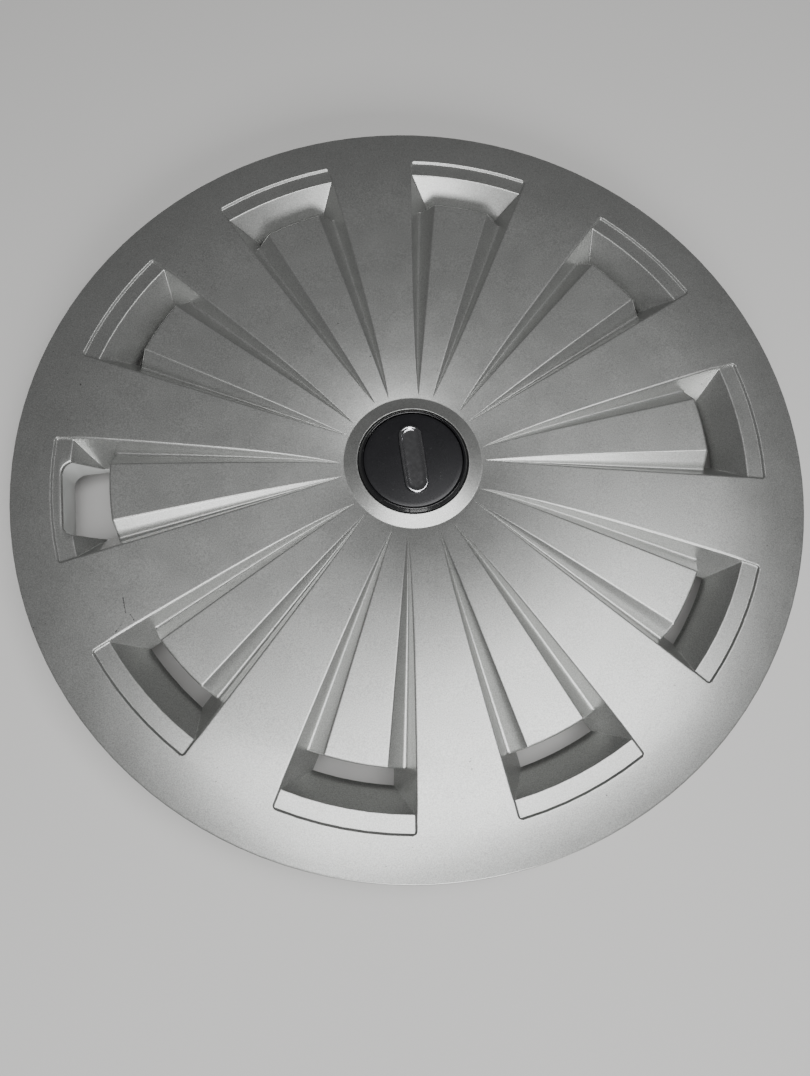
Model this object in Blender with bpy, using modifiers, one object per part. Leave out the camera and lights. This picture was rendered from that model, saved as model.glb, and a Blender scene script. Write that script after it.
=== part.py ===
"""Ten-spoke wheel cover for a 16 inch steel wheel, lying face up.

The origin is on the cover's axis at the level of its lowest feet, +Z is the outward face and the
valve opening is at -X. Sizes are in metres. The moulded face falls gently from a crown ring to
the hub and to the rim. Ten wedge-shaped pockets are sunk into it, each with a raised blade in the
middle, a slot at the blade's end and a shallow ledge outside the slot. Behind the lands between
the pockets stand ten towers, each with a nylon clip, and a steel wire ring presses the clips out.
"""
import math

import bmesh
import bpy
from mathutils import Matrix, Vector

OBJECT_NAME = "wheel_cover"

# Driving sizes of the moulded face; heights are above the feet
COVER_R = 0.216
FACE_Z = 0.040
WALL = 0.0022
PLATE = 0.0025
GAP = 0.0003
SPOKES = 10
PITCH = 2 * math.pi / SPOKES
TURN_STEPS = 60

# Crown ring, dish towards the hub and fall towards the rim
CROWN_R = 0.163
CROWN_H = 0.0016
DISH_DROP = 0.0068
CROWN_SLOPE = 0.0163
RIM_FALL = 1.9

# Centre: collar, cap seat and socket
COLLAR_R = 0.0382
COLLAR_LOW = -0.0052
SEAT_R = 0.0306
SEAT_TOP = -0.0030
SEAT_FLOOR = -0.0060
BORE_R = 0.0270
SOCKET_R = 0.0295
SOCKET_LOW = -0.0170

# Rim: turned-down edge and the flat ring that sits on the wheel's flange
RIM_EDGE_LOW = -0.0070
RIM_SEAT_Z = -0.0046
RIM_SEAT_OUT = 0.2138
RIM_SEAT_IN = 0.2045

# Pockets
TIP_R = 0.040
BLADE_SLOPE = 0.0976
GROOVE_WIDTH = 0.0143
GROOVE_REACH = 0.126
GROOVE_POWER = 0.8
GROOVE_DEPTH = 0.54
BLADE_RUN = 0.56
LAND_RUN = 0.34
BLADE_END_R = 0.1626
SIDE_SLOPE = 1.6
SLOT_OUT_R = 0.1708
SLOT_Z = -0.0153
BASIN_LOW = -0.0165
LEDGE_IN_R = 0.1838
LEDGE_OUT_R = 0.1936
LEDGE_DEPTH = 0.0012
LEDGE_LEAN = 0.35
LEDGE_OVERLAP = 0.0100
CUT_ABOVE = 0.0060
SLOT_CUT_LOW = -0.0240
ARC_STEPS = 6

# Valve opening
VALVE_ANGLE = math.pi
VALVE_HALF = 0.0205
VALVE_IN_R = 0.1640
VALVE_OUT_R = 0.1878
VALVE_CORNER = 0.0063
VALVE_LOW = -0.0220
VALVE_TOP = -0.0020
VALVE_CUT_LOW = -0.0260

# Towers and ribs behind the lands
TOWER_IN = 0.1685
TOWER_OUT = 0.1895
TOWER_HALF = 0.0140
TOWER_WALL = 0.0020
TOWER_TOP_IN_PLATE = 0.0016
RIB_THICK = 0.0018
RIB_LOW_IN = -0.0150
RIB_LOW_OUT = -0.0095

# Wire ring
WIRE_R = 0.0015
WIRE_RING_R = 0.1814
WIRE_Z = 0.0120
WIRE_CLEAR = 0.0006
WIRE_TRAVEL = 0.0026
WIRE_BEND_R = 0.1530
WIRE_BEND_START = math.radians(11.6)
WIRE_BEND_END = math.radians(8.6)
WIRE_POINTS = 60

# Clips; their outline is in a radial plane
CLIP_HALF = 0.0100
CLIP_PIVOT_R = 0.1845
CLIP_PIVOT_Z = 0.0320
CLIP_BEAD_R = 0.0026
CLIP_FINGER_IN = 0.1832
CLIP_FINGER_OUT = 0.1858
CLIP_SEAT_WALL = 0.0018
CLIP_SEAT_OPEN = math.radians(55)
CLIP_LOW = 0.0012
CLIP_FOOT = 0.0010
HOOK_CLEAR = 0.0003
HOOK_PAST_WIRE = 0.0009
HOOK_TIP = 0.0010
HOOK_ROOT = 0.0016
CLIP_TOUCH_R = 0.1940
BARB_START = (-0.0012, 0.0075)
BARB_TOUCH_LOW = 0.0095
BARB_TOUCH_HIGH = 0.0115
BARB_BACK = (-0.0010, 0.0130)
BARB_SHOULDER = (0.0008, 0.0165)
FINGER_SHOULDER_Z = 0.0190

# Centre cap
CAP_RISE = 0.0020
CAP_LIP_R = 0.0276
CAP_LIP_WIDTH = 0.0010
CAP_LIP_ROUND = 0.0002
CAP_BEVEL_IN = 0.0009
CAP_BEVEL_DROP = 0.0016
CAP_EDGE_DROP = 0.0028
CAP_PAN = 0.0004
CAP_PAN_UNDER = 0.0012
CAP_PAN_MIDDLE = 0.0040
CAP_SKIRT_R = 0.0262
CAP_SKIRT_WALL = 0.0018
CAP_SKIRT_TAPER = 0.0004
CAP_SKIRT_LOW = -0.0150
CAP_BARB_R = 0.0267
CAP_BARB_Z = (-0.0105, -0.0112, -0.0122)
CAP_WIRE_R = 0.0007
CAP_WIRE_Z = -0.0125
INSERT_R = 0.0272
INSERT_UNDER_LIP = 0.0010
INSERT_RISE = 0.0009
INSERT_STEPS = 6
EMBLEM_HALF_WIDTH = 0.0066
EMBLEM_HALF_HEIGHT = 0.0200
EMBLEM_SIDE = 0.0009
EMBLEM_THICK = 0.0014
EMBLEM_BEVEL = 0.0009
EMBLEM_ROUND_STEPS = 5


def face_height(r):
    """Height of the moulded face above its land level at radius r."""
    if r < CROWN_R:
        s = (CROWN_R - r) / (CROWN_R - COLLAR_R)
        return CROWN_H - DISH_DROP * (0.3 * s + 0.7 * s ** 4)
    out = r - CROWN_R
    return CROWN_H + CROWN_SLOPE * out - RIM_FALL * out ** 2


def groove_width(r):
    """Width of the groove beside a blade at radius r."""
    return GROOVE_WIDTH * (max(r - TIP_R, 0.0) / GROOVE_REACH) ** GROOVE_POWER


def on_circle(r, y, z):
    """Point at radius r and sideways offset y in a pocket's own axes, height z over the lands."""
    return Vector((math.sqrt(r * r - y * y), y, FACE_Z + z))


def collection(name):
    """Make a collection in the scene."""
    group = bpy.data.collections.new(name)
    bpy.context.scene.collection.children.link(group)
    return group


def material(name, color, roughness, metallic=0.0):
    """Make a plain Principled material."""
    paint = bpy.data.materials.new(name)
    paint.use_nodes = True
    shader = paint.node_tree.nodes["Principled BSDF"]
    shader.inputs["Base Color"].default_value = (*color, 1.0)
    shader.inputs["Roughness"].default_value = roughness
    shader.inputs["Metallic"].default_value = metallic
    return paint


def new_object(name, bm, group, paint=None):
    """Turn a bmesh into an object with its normals outwards."""
    bmesh.ops.recalc_face_normals(bm, faces=bm.faces)
    mesh = bpy.data.meshes.new(name)
    bm.to_mesh(mesh)
    bm.free()
    if paint:
        mesh.materials.append(paint)
    obj = bpy.data.objects.new(name, mesh)
    group.objects.link(obj)
    return obj


def add_loft(bm, sections, turn=0.0):
    """Add a closed solid through sections of equal point counts, turned about the cover's axis."""
    spin = Matrix.Rotation(turn, 3, "Z")
    rings = [[bm.verts.new(spin @ Vector(p)) for p in section] for section in sections]
    for low, high in zip(rings, rings[1:]):
        for i in range(len(low)):
            j = (i + 1) % len(low)
            bm.faces.new((low[i], low[j], high[j], high[i]))
    bm.faces.new(list(reversed(rings[0])))
    bm.faces.new(rings[-1])


def add_slab(bm, outline, half, turn=0.0):
    """Add an outline of (radius, height) points as a slab between y = -half and +half."""
    sections = [[(r, y, z) for r, z in outline] for y in (-half, half)]
    add_loft(bm, sections, turn)


def cut(target, tool, operation):
    """Add a Boolean with an EXACT solver."""
    tool.hide_render = True
    tool.display_type = "WIRE"
    step = target.modifiers.new(operation.title(), "BOOLEAN")
    step.operation = operation
    step.solver = "EXACT"
    step.object = tool


def turned(name, outline, group, paint, steps=TURN_STEPS):
    """Turn a closed (radius, height) outline about Z; it runs down its outer side."""
    bm = bmesh.new()
    verts = [bm.verts.new((r, 0.0, z)) for r, z in outline]
    for i, vert in enumerate(verts):
        bm.edges.new((vert, verts[(i + 1) % len(verts)]))
    mesh = bpy.data.meshes.new(name)
    bm.to_mesh(mesh)
    bm.free()
    mesh.materials.append(paint)
    obj = bpy.data.objects.new(name, mesh)
    group.objects.link(obj)
    screw = obj.modifiers.new("Screw", "SCREW")
    screw.steps = steps
    screw.render_steps = steps
    screw.use_merge_vertices = True
    screw.merge_threshold = 0.00001
    screw.use_smooth_shade = True
    return obj


def smooth(obj, degrees=30):
    """Shade an object smooth with its sharper edges kept."""
    obj.data.shade_smooth()
    obj.data.set_sharp_from_angle(angle=math.radians(degrees))


# ---------------------------------------------------------------- moulded cover

def plate_outline():
    """Section of the turned plate with its rim, cap seat and socket tube."""
    top_radii = (0.045, 0.055, 0.070, 0.095, 0.130, CROWN_R, 0.180, 0.194, 0.206, 0.2140)
    low_radii = (0.202, CROWN_R, 0.095, 0.060, 0.045)
    top = [(SEAT_R, SEAT_TOP), (COLLAR_R, COLLAR_LOW)]
    top += [(r, face_height(r)) for r in top_radii]
    rim = [(0.2154, face_height(0.2154) - 0.0002), (COVER_R, -0.0038), (COVER_R, RIM_EDGE_LOW),
           (RIM_SEAT_OUT, RIM_EDGE_LOW), (RIM_SEAT_OUT, RIM_SEAT_Z), (RIM_SEAT_IN, RIM_SEAT_Z)]
    low = [(r, face_height(r) - PLATE) for r in low_radii]
    socket = [(COLLAR_R, COLLAR_LOW - PLATE), (SOCKET_R, SEAT_FLOOR - PLATE),
              (SOCKET_R, SOCKET_LOW), (BORE_R, SOCKET_LOW), (BORE_R, SEAT_FLOOR),
              (SEAT_R, SEAT_FLOOR)]
    return [(r, FACE_Z + z) for r, z in top + rim + low + socket]


def groove_section(r, side, wall, lift):
    """Four points across a groove at radius r; wall grows it, lift raises its open side."""
    width = groove_width(r)
    blade = BLADE_SLOPE * r
    depth = GROOVE_DEPTH * width
    top = face_height(r)
    open_in = blade - 1.44 * wall
    open_out = blade + width + 1.21 * wall
    low_in = blade + BLADE_RUN * width - 0.40 * wall
    low_out = blade + (1 - LAND_RUN) * width + 0.53 * wall
    if wall:
        open_in += 1.04 * lift
        open_out -= 0.68 * lift
        points = ((open_in, top - lift), (low_in, top - depth - wall),
                  (low_out, top - depth - wall), (open_out, top - lift))
    else:
        points = ((open_in, top + lift), (open_in, top), (low_in, top - depth),
                  (low_out, top - depth), (open_out, top), (open_out, top + lift))
    return [on_circle(r, side * y, z) for y, z in points]


def groove_solids(name, radii, wall, lift, group):
    """All the grooves, or with a wall the troughs that hold them."""
    bm = bmesh.new()
    for k in range(SPOKES):
        for side in (-1, 1):
            add_loft(bm, [groove_section(r, side, wall, lift) for r in radii], k * PITCH)
    return new_object(name, bm, group)


def pocket_ring(inner_r, outer_r, half_in, half_out, z):
    """Outline across a pocket's end: inner arc, straight side, outer arc, straight side."""
    shares = [2 * i / ARC_STEPS - 1 for i in range(ARC_STEPS + 1)]
    inner = [on_circle(inner_r, half_in * share, z) for share in shares]
    outer = [on_circle(outer_r, -half_out * share, z) for share in shares]
    return inner + outer


def side_half(r, z):
    """Half-width of the pocket between its side walls at radius r and height z."""
    top = BLADE_SLOPE * r + groove_width(r)
    return top - (face_height(r) - z) / SIDE_SLOPE


def end_solids(name, wall, group):
    """The pockets' ends: slot and sloping end wall; with a wall, the boxes that hold them."""
    inner = BLADE_END_R - wall
    levels = []
    if wall:
        grow = 1.15 * wall
        for z, outer_r in ((face_height(LEDGE_IN_R) - 0.0018, LEDGE_IN_R - 0.0002),
                           (SLOT_Z, SLOT_OUT_R), (BASIN_LOW, SLOT_OUT_R)):
            low = max(z, SLOT_Z)
            levels.append(pocket_ring(inner, outer_r + grow * 1.1, side_half(inner, low) + grow,
                                      side_half(outer_r, low) + grow, z))
    else:
        sill = face_height(LEDGE_IN_R) - LEDGE_DEPTH
        for z, r, low in ((CUT_ABOVE, LEDGE_IN_R, sill), (sill, LEDGE_IN_R, sill),
                          (SLOT_Z, SLOT_OUT_R, SLOT_Z), (SLOT_CUT_LOW, SLOT_OUT_R, SLOT_Z)):
            half_in = side_half(inner, low) + (face_height(inner) - low) / SIDE_SLOPE * (z > sill)
            half_out = side_half(r, low)
            levels.append(pocket_ring(inner, r, half_in, half_out, z))
    bm = bmesh.new()
    for k in range(SPOKES):
        add_loft(bm, levels, k * PITCH)
    return new_object(name, bm, group)


def ledge_solids(name, group):
    """Cutters for the shallow ledges between the end walls and the lands."""
    levels = []
    for above, depth in ((True, 0.0), (False, 0.0), (False, LEDGE_DEPTH)):
        ring = []
        for r, back, way in ((LEDGE_IN_R - LEDGE_OVERLAP, 0.0, 1),
                             (LEDGE_OUT_R, LEDGE_LEAN * depth, -1)):
            half = side_half(r, face_height(r) - depth) - back
            z = CUT_ABOVE if above else face_height(r - back) - depth
            for i in range(ARC_STEPS + 1):
                share = way * (2 * i / ARC_STEPS - 1)
                ring.append(on_circle(r - back, half * share, z))
        levels.append(ring)
    bm = bmesh.new()
    for k in range(SPOKES):
        add_loft(bm, levels, k * PITCH)
    return new_object(name, bm, group)


def rounded_notch(grow, corner_steps=4):
    """Outline of the valve opening with rounded outer corners."""
    half = VALVE_HALF + grow
    out = VALVE_OUT_R + grow
    corner = VALVE_CORNER + grow
    points = [(VALVE_IN_R, -half)]
    for side in (-1, 1):
        for i in range(corner_steps + 1):
            turn = i / corner_steps if side < 0 else 1 - i / corner_steps
            angle = turn * math.pi / 2
            points.append((out - corner + corner * math.sin(angle),
                           side * (half - corner + corner * math.cos(angle))))
    points.append((VALVE_IN_R, half))
    return points


def valve_solid(name, grow, low, high, group):
    """The valve opening as a cutter, or grown as its wall."""
    outline = rounded_notch(grow)
    bm = bmesh.new()
    add_loft(bm, [[(r, y, FACE_Z + z) for r, y in outline] for z in (low, high)], VALVE_ANGLE)
    return new_object(name, bm, group)


def land_turns():
    """Angles of the lands between the pockets."""
    return [PITCH * (k + 0.5) for k in range(SPOKES)]


def tower_solids(name, group):
    """Outer blocks of the clip towers."""
    top = FACE_Z + face_height(TOWER_IN) - TOWER_TOP_IN_PLATE
    outline = [(TOWER_IN, 0.0), (TOWER_OUT, 0.0), (TOWER_OUT, top - 0.0005), (TOWER_IN, top)]
    bm = bmesh.new()
    for turn in land_turns():
        add_slab(bm, outline, TOWER_HALF, turn)
    return new_object(name, bm, group)


def tower_hollows(name, group):
    """Cutters that open the towers downwards and outwards."""
    inner = TOWER_IN + TOWER_WALL
    top = FACE_Z + face_height(TOWER_OUT) - PLATE - 0.0006
    outline = [(inner, -0.001), (TOWER_OUT + 0.001, -0.001), (TOWER_OUT + 0.001, top),
               (inner, top)]
    bm = bmesh.new()
    for turn in land_turns():
        add_slab(bm, outline, TOWER_HALF - TOWER_WALL, turn)
    return new_object(name, bm, group)


def clip_seats(name, group):
    """C-shaped seats under the plate that grip the clips' pivot beads."""
    inner = CLIP_BEAD_R + GAP
    outer = inner + CLIP_SEAT_WALL
    lip_z = CLIP_PIVOT_Z - inner * math.cos(CLIP_SEAT_OPEN)
    top = FACE_Z + face_height(CLIP_PIVOT_R) - PLATE / 2
    steps = 10
    round_in = []
    for i in range(steps + 1):
        angle = math.pi / 2 - (math.pi - CLIP_SEAT_OPEN) * (2 * i / steps - 1)
        round_in.append((CLIP_PIVOT_R + inner * math.cos(angle),
                         CLIP_PIVOT_Z + inner * math.sin(angle)))
    outline = [(CLIP_PIVOT_R - outer, lip_z), (CLIP_PIVOT_R - outer, top),
               (CLIP_PIVOT_R + outer, top), (CLIP_PIVOT_R + outer, lip_z)]
    bm = bmesh.new()
    for turn in land_turns():
        add_slab(bm, outline + list(reversed(round_in)), TOWER_HALF - TOWER_WALL + 0.0002, turn)
    return new_object(name, bm, group)


def rib_solids(name, group):
    """Radial ribs from the socket tube to the towers."""
    radii = (0.0290, 0.0400, 0.0500, 0.0650, 0.0850, 0.1150, TOWER_IN + 0.0005)
    top = [(r, FACE_Z + face_height(max(r, COLLAR_R)) - 0.0012 - 0.002 * (r < 0.035))
           for r in radii]
    low = [(radii[-1], FACE_Z + RIB_LOW_OUT), (radii[0], FACE_Z + RIB_LOW_IN)]
    bm = bmesh.new()
    for turn in land_turns():
        add_slab(bm, top + low, RIB_THICK / 2, turn)
    return new_object(name, bm, group)


def wire_path_radius(angle):
    """Radius of the wire ring at an angle; it bends inwards round the valve opening."""
    off = abs((angle - VALVE_ANGLE + math.pi) % (2 * math.pi) - math.pi)
    s = (WIRE_BEND_START - off) / (WIRE_BEND_START - WIRE_BEND_END)
    s = min(max(s, 0.0), 1.0)
    return WIRE_RING_R - (WIRE_RING_R - WIRE_BEND_R) * s * s * (3 - 2 * s)


def make_cover(parts, cutters, paint):
    """The one-piece moulding."""
    cover = turned("cover_disc", plate_outline(), parts, paint)
    trough_radii = (0.0415, 0.0470, 0.0600, 0.0900, BLADE_END_R - 0.0010)
    groove_radii = (0.0415, 0.0470, 0.0600, 0.0900, BLADE_END_R + 0.0005)
    cut(cover, groove_solids("troughs", trough_radii, WALL, 0.0010, cutters), "UNION")
    cut(cover, end_solids("end_boxes", WALL, cutters), "UNION")
    cut(cover, tower_solids("towers", cutters), "UNION")
    cut(cover, rib_solids("ribs", cutters), "UNION")
    cut(cover, valve_solid("valve_wall", WALL, VALVE_LOW, VALVE_TOP, cutters), "UNION")
    cut(cover, groove_solids("grooves", groove_radii, 0.0, CUT_ABOVE, cutters), "DIFFERENCE")
    cut(cover, end_solids("slots", 0.0, cutters), "DIFFERENCE")
    cut(cover, ledge_solids("ledges", cutters), "DIFFERENCE")
    cut(cover, valve_solid("valve_opening", 0.0, VALVE_CUT_LOW, CUT_ABOVE, cutters), "DIFFERENCE")
    cut(cover, tower_hollows("tower_hollows", cutters), "DIFFERENCE")
    cut(cover, clip_seats("clip_seats", cutters), "UNION")
    reach = WIRE_R + WIRE_CLEAR
    inner = WIRE_RING_R - WIRE_TRAVEL - reach
    channel = [(inner, WIRE_Z + reach), (WIRE_RING_R + reach, WIRE_Z + reach),
               (WIRE_RING_R + reach, -GAP), (inner, -GAP)]
    cut(cover, turned("wire_channel", channel, cutters, paint, steps=60), "DIFFERENCE")
    return cover


# ---------------------------------------------------------------- retention

def clip_outline():
    """Radial section of a clip: pivot bead, finger, barb and wire hook."""
    bead = []
    for i in range(9):
        angle = math.radians(-60 + 37.5 * i)
        bead.append((CLIP_PIVOT_R + CLIP_BEAD_R * math.cos(angle),
                     CLIP_PIVOT_Z + CLIP_BEAD_R * math.sin(angle)))
    hook_in = WIRE_RING_R - WIRE_R - HOOK_PAST_WIRE
    clear = WIRE_R + HOOK_CLEAR
    hook = [(CLIP_FINGER_IN, WIRE_Z + clear + HOOK_ROOT), (hook_in, WIRE_Z + clear + HOOK_TIP),
            (hook_in, WIRE_Z + clear), (CLIP_FINGER_IN, WIRE_Z + clear),
            (CLIP_FINGER_IN, WIRE_Z - clear), (hook_in, WIRE_Z - clear),
            (hook_in, WIRE_Z - clear - HOOK_TIP), (CLIP_FINGER_IN, WIRE_Z - clear - HOOK_ROOT)]
    foot = [(CLIP_FINGER_IN, CLIP_LOW), (CLIP_FINGER_OUT + CLIP_FOOT, CLIP_LOW)]
    barb = [(CLIP_TOUCH_R + BARB_START[0], BARB_START[1]), (CLIP_TOUCH_R, BARB_TOUCH_LOW),
            (CLIP_TOUCH_R, BARB_TOUCH_HIGH), (CLIP_TOUCH_R + BARB_BACK[0], BARB_BACK[1]),
            (CLIP_FINGER_OUT + BARB_SHOULDER[0], BARB_SHOULDER[1]),
            (CLIP_FINGER_OUT, FINGER_SHOULDER_Z)]
    return bead + hook + foot + barb


def make_clips(parts, paint):
    """Ten clips, each with its origin on its pivot."""
    outline = [(r - CLIP_PIVOT_R, z - CLIP_PIVOT_Z) for r, z in clip_outline()]
    bm = bmesh.new()
    add_slab(bm, outline, CLIP_HALF)
    first = None
    for k, turn in enumerate(land_turns()):
        name = f"clip_{k + 1:02d}"
        if first is None:
            first = new_object(name, bm, parts, paint)
            clip = first
        else:
            clip = bpy.data.objects.new(name, first.data)
            parts.objects.link(clip)
        clip.location = (CLIP_PIVOT_R * math.cos(turn), CLIP_PIVOT_R * math.sin(turn),
                         CLIP_PIVOT_Z)
        clip.rotation_euler = (0.0, 0.0, turn)


def make_wire(parts, paint):
    """Closed steel wire ring with its bend round the valve."""
    curve = bpy.data.curves.new("spring_wire", "CURVE")
    curve.dimensions = "3D"
    curve.bevel_depth = WIRE_R
    curve.bevel_resolution = 2
    spline = curve.splines.new("POLY")
    angles = []
    for i in range(WIRE_POINTS):
        angles.append(2 * math.pi * i / WIRE_POINTS)
    span = WIRE_BEND_START - WIRE_BEND_END
    for side in (-1, 1):
        for i in range(1, 8):
            angles.append(VALVE_ANGLE + side * (WIRE_BEND_END + span * i / 8))
    angles.sort()
    spline.points.add(len(angles) - 1)
    for point, angle in zip(spline.points, angles):
        r = wire_path_radius(angle)
        point.co = (r * math.cos(angle), r * math.sin(angle), WIRE_Z, 1.0)
    spline.use_cyclic_u = True
    curve.materials.append(paint)
    wire = bpy.data.objects.new("spring_wire", curve)
    parts.objects.link(wire)


# ---------------------------------------------------------------- centre cap

def insert_height(r):
    """Height of the insert's domed top at radius r, over the land level."""
    rim = SEAT_TOP + CAP_RISE - INSERT_UNDER_LIP
    return rim + INSERT_RISE * (1 - (r / INSERT_R) ** 2)


def emblem_sections():
    """Sections along a plain bar with round ends that follows the insert's dome."""
    straight = EMBLEM_HALF_HEIGHT - EMBLEM_HALF_WIDTH
    stations = []
    for i in range(1, EMBLEM_ROUND_STEPS + 1):
        angle = math.pi / 2 * i / EMBLEM_ROUND_STEPS
        stations.append((straight + EMBLEM_HALF_WIDTH * math.cos(angle), math.sin(angle)))
    stations.append((0.0, 1.0))
    stations += [(-y, share) for y, share in reversed(stations[:-1])]
    sections = []
    for y, share in stations:
        half = EMBLEM_HALF_WIDTH * share
        inner = half - EMBLEM_BEVEL * share
        low = FACE_Z + insert_height(y) + GAP
        sections.append([(-half, y, low), (half, y, low), (half, y, low + EMBLEM_SIDE),
                         (inner, y, low + EMBLEM_THICK), (-inner, y, low + EMBLEM_THICK),
                         (-half, y, low + EMBLEM_SIDE)])
    return sections


def make_cap(parts, body_paint, insert_paint, steel_paint, emblem_paint):
    """Snap-in cap: bevelled shell, domed insert, retaining wire and emblem."""
    top = SEAT_TOP + CAP_RISE
    flange = SEAT_FLOOR + GAP
    out = SEAT_R - GAP
    skirt_in = CAP_SKIRT_R - CAP_SKIRT_WALL
    pan_top = SEAT_FLOOR + CAP_PAN
    pan_low = SEAT_FLOOR - CAP_PAN_UNDER
    barb_top, barb_high, barb_low = CAP_BARB_Z
    shell = [(CAP_LIP_R, top - CAP_LIP_ROUND), (CAP_LIP_R + CAP_LIP_WIDTH, top),
             (out - CAP_BEVEL_IN, top - CAP_BEVEL_DROP), (out, top - CAP_EDGE_DROP),
             (out, flange), (CAP_SKIRT_R, flange), (CAP_SKIRT_R, barb_top),
             (CAP_BARB_R, barb_high), (CAP_BARB_R, barb_low),
             (CAP_SKIRT_R - CAP_SKIRT_TAPER, CAP_SKIRT_LOW), (skirt_in, CAP_SKIRT_LOW),
             (skirt_in, pan_low), (CAP_PAN_MIDDLE, pan_low), (CAP_PAN_MIDDLE, pan_top),
             (CAP_LIP_R, pan_top)]
    turned("centre_cap", [(r, FACE_Z + z) for r, z in shell], parts, body_paint, steps=48)

    insert = []
    for i in range(INSERT_STEPS + 1):
        r = INSERT_R * i / INSERT_STEPS
        insert.append((r, insert_height(r)))
    insert += [(INSERT_R, pan_top + GAP), (0.0, pan_top + GAP)]
    bm = bmesh.new()
    verts = [bm.verts.new((r, 0.0, FACE_Z + z)) for r, z in insert]
    for a, b in zip(verts, verts[1:]):
        bm.edges.new((a, b))
    bmesh.ops.spin(bm, geom=bm.verts[:] + bm.edges[:], cent=(0, 0, 0), axis=(0, 0, 1),
                   angle=2 * math.pi, steps=48, use_merge=True)
    bmesh.ops.remove_doubles(bm, verts=bm.verts, dist=0.00001)
    smooth(new_object("cap_insert", bm, parts, insert_paint))

    ring_r = skirt_in - CAP_WIRE_R - GAP
    section = []
    for i in range(6):
        angle = -2 * math.pi * i / 6
        section.append((ring_r + CAP_WIRE_R * math.cos(angle),
                        FACE_Z + CAP_WIRE_Z + CAP_WIRE_R * math.sin(angle)))
    turned("cap_spring_ring", section, parts, steel_paint, steps=40)

    bm = bmesh.new()
    add_loft(bm, emblem_sections())
    smooth(new_object("cap_emblem", bm, parts, emblem_paint))


def main():
    for obj in list(bpy.data.objects):
        bpy.data.objects.remove(obj, do_unlink=True)
    parts = collection(OBJECT_NAME)
    cutters = collection("cutters")
    silver = material("silver_paint", (0.53, 0.54, 0.53), 0.32, 0.6)
    nylon = material("black_nylon", (0.03, 0.03, 0.032), 0.55)
    steel = material("spring_steel", (0.45, 0.45, 0.46), 0.3, 1.0)
    gloss = material("gloss_black", (0.012, 0.012, 0.014), 0.08)
    satin = material("satin_black", (0.03, 0.031, 0.035), 0.3)
    dark_chrome = material("dark_chrome", (0.35, 0.35, 0.37), 0.12, 1.0)
    make_cover(parts, cutters, silver)
    make_clips(parts, nylon)
    make_wire(parts, steel)
    make_cap(parts, gloss, satin, steel, dark_chrome)


main()
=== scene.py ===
"""Looks for the wheel cover: an add-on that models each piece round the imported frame.

Every size is in metres. A pocket's own axes have x along its centre line and y across it. The
cover is one half of one pocket's sector, mirrored and turned round the axis; points of a sector
are given as (radius, sideways offset, height over the land level).
"""

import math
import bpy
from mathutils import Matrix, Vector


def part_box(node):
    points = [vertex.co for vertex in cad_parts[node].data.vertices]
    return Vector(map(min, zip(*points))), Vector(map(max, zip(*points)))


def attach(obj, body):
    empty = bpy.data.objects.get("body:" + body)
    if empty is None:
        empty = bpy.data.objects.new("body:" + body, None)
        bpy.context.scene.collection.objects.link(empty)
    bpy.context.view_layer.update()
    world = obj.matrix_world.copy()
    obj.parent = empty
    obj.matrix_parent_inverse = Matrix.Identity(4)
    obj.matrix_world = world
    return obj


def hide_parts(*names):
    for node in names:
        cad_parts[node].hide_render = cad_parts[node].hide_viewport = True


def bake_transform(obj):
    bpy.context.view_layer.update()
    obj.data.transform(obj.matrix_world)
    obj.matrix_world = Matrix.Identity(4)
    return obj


bl_info = {
    "name": "Wheel cover",
    "version": (1, 0, 0),
    "blender": (4, 5, 0),
    "location": "View3D > Sidebar > Wheel cover",
    "description": "Models a silver wheel cover with its clips, wire ring and centre cap",
    "category": "Add Mesh",
}

import bmesh
import bpy
from bpy.props import FloatProperty, FloatVectorProperty, PointerProperty
from mathutils import Matrix, Vector

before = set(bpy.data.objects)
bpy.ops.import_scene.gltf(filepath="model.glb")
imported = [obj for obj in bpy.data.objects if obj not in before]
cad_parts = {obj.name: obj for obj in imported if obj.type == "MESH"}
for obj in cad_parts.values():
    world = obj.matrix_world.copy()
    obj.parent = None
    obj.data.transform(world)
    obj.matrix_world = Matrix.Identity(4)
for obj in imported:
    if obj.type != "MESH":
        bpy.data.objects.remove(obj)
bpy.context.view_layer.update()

DISC_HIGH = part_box("cover_disc")[1]
CAP_LOW, CAP_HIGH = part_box("centre_cap")
INSERT_LOW, INSERT_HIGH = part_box("cap_insert")
EMBLEM_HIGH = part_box("cap_emblem")[1]
WIRE_LOW, WIRE_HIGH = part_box("spring_wire")
CLIP_LOW, CLIP_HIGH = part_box("clip_03")

SPOKES = 10
PITCH = 2 * math.pi / SPOKES
HALF_PITCH = PITCH / 2
LAND_ANGLES = [PITCH * (k + 0.5) for k in range(SPOKES)]
VALVE_ANGLE = math.pi

# Face: dish to the hub, crown ring and fall to the rim
COVER_R = DISC_HIGH.x
WALL = 0.0022
CROWN_R = 0.163
CROWN_H = 0.0016
CROWN_SLOPE = 0.0163
RIM_FALL = 1.9
DISH_DROP = 0.0068
DISH_EVEN = 0.3
FACE_Z = DISC_HIGH.z - CROWN_H - CROWN_SLOPE ** 2 / (4 * RIM_FALL)

# Hub: collar, cap seat and socket tube
COLLAR_R = 0.0382
COLLAR_Z = -0.0052
SEAT_R = 0.0306
SEAT_TOP = -0.0030
SEAT_FLOOR = -0.0060
BORE_R = 0.0270
SOCKET_R = 0.0295
SOCKET_LOW = -0.0170

# Rim: turned-down edge and the ring that sits on the wheel's flange
RIM_LOW = -0.0070
RIM_SEAT_Z = -0.0046
RIM_SEAT_OUT = 0.2138
RIM_SEAT_IN = 0.2045
RIM_START_R = 0.196
RIM_FACE_RADII = (RIM_START_R, 0.2010, 0.2060, 0.2110, COVER_R)
RIM_BACK_RADII = (0.1995, 0.2020)

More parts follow.
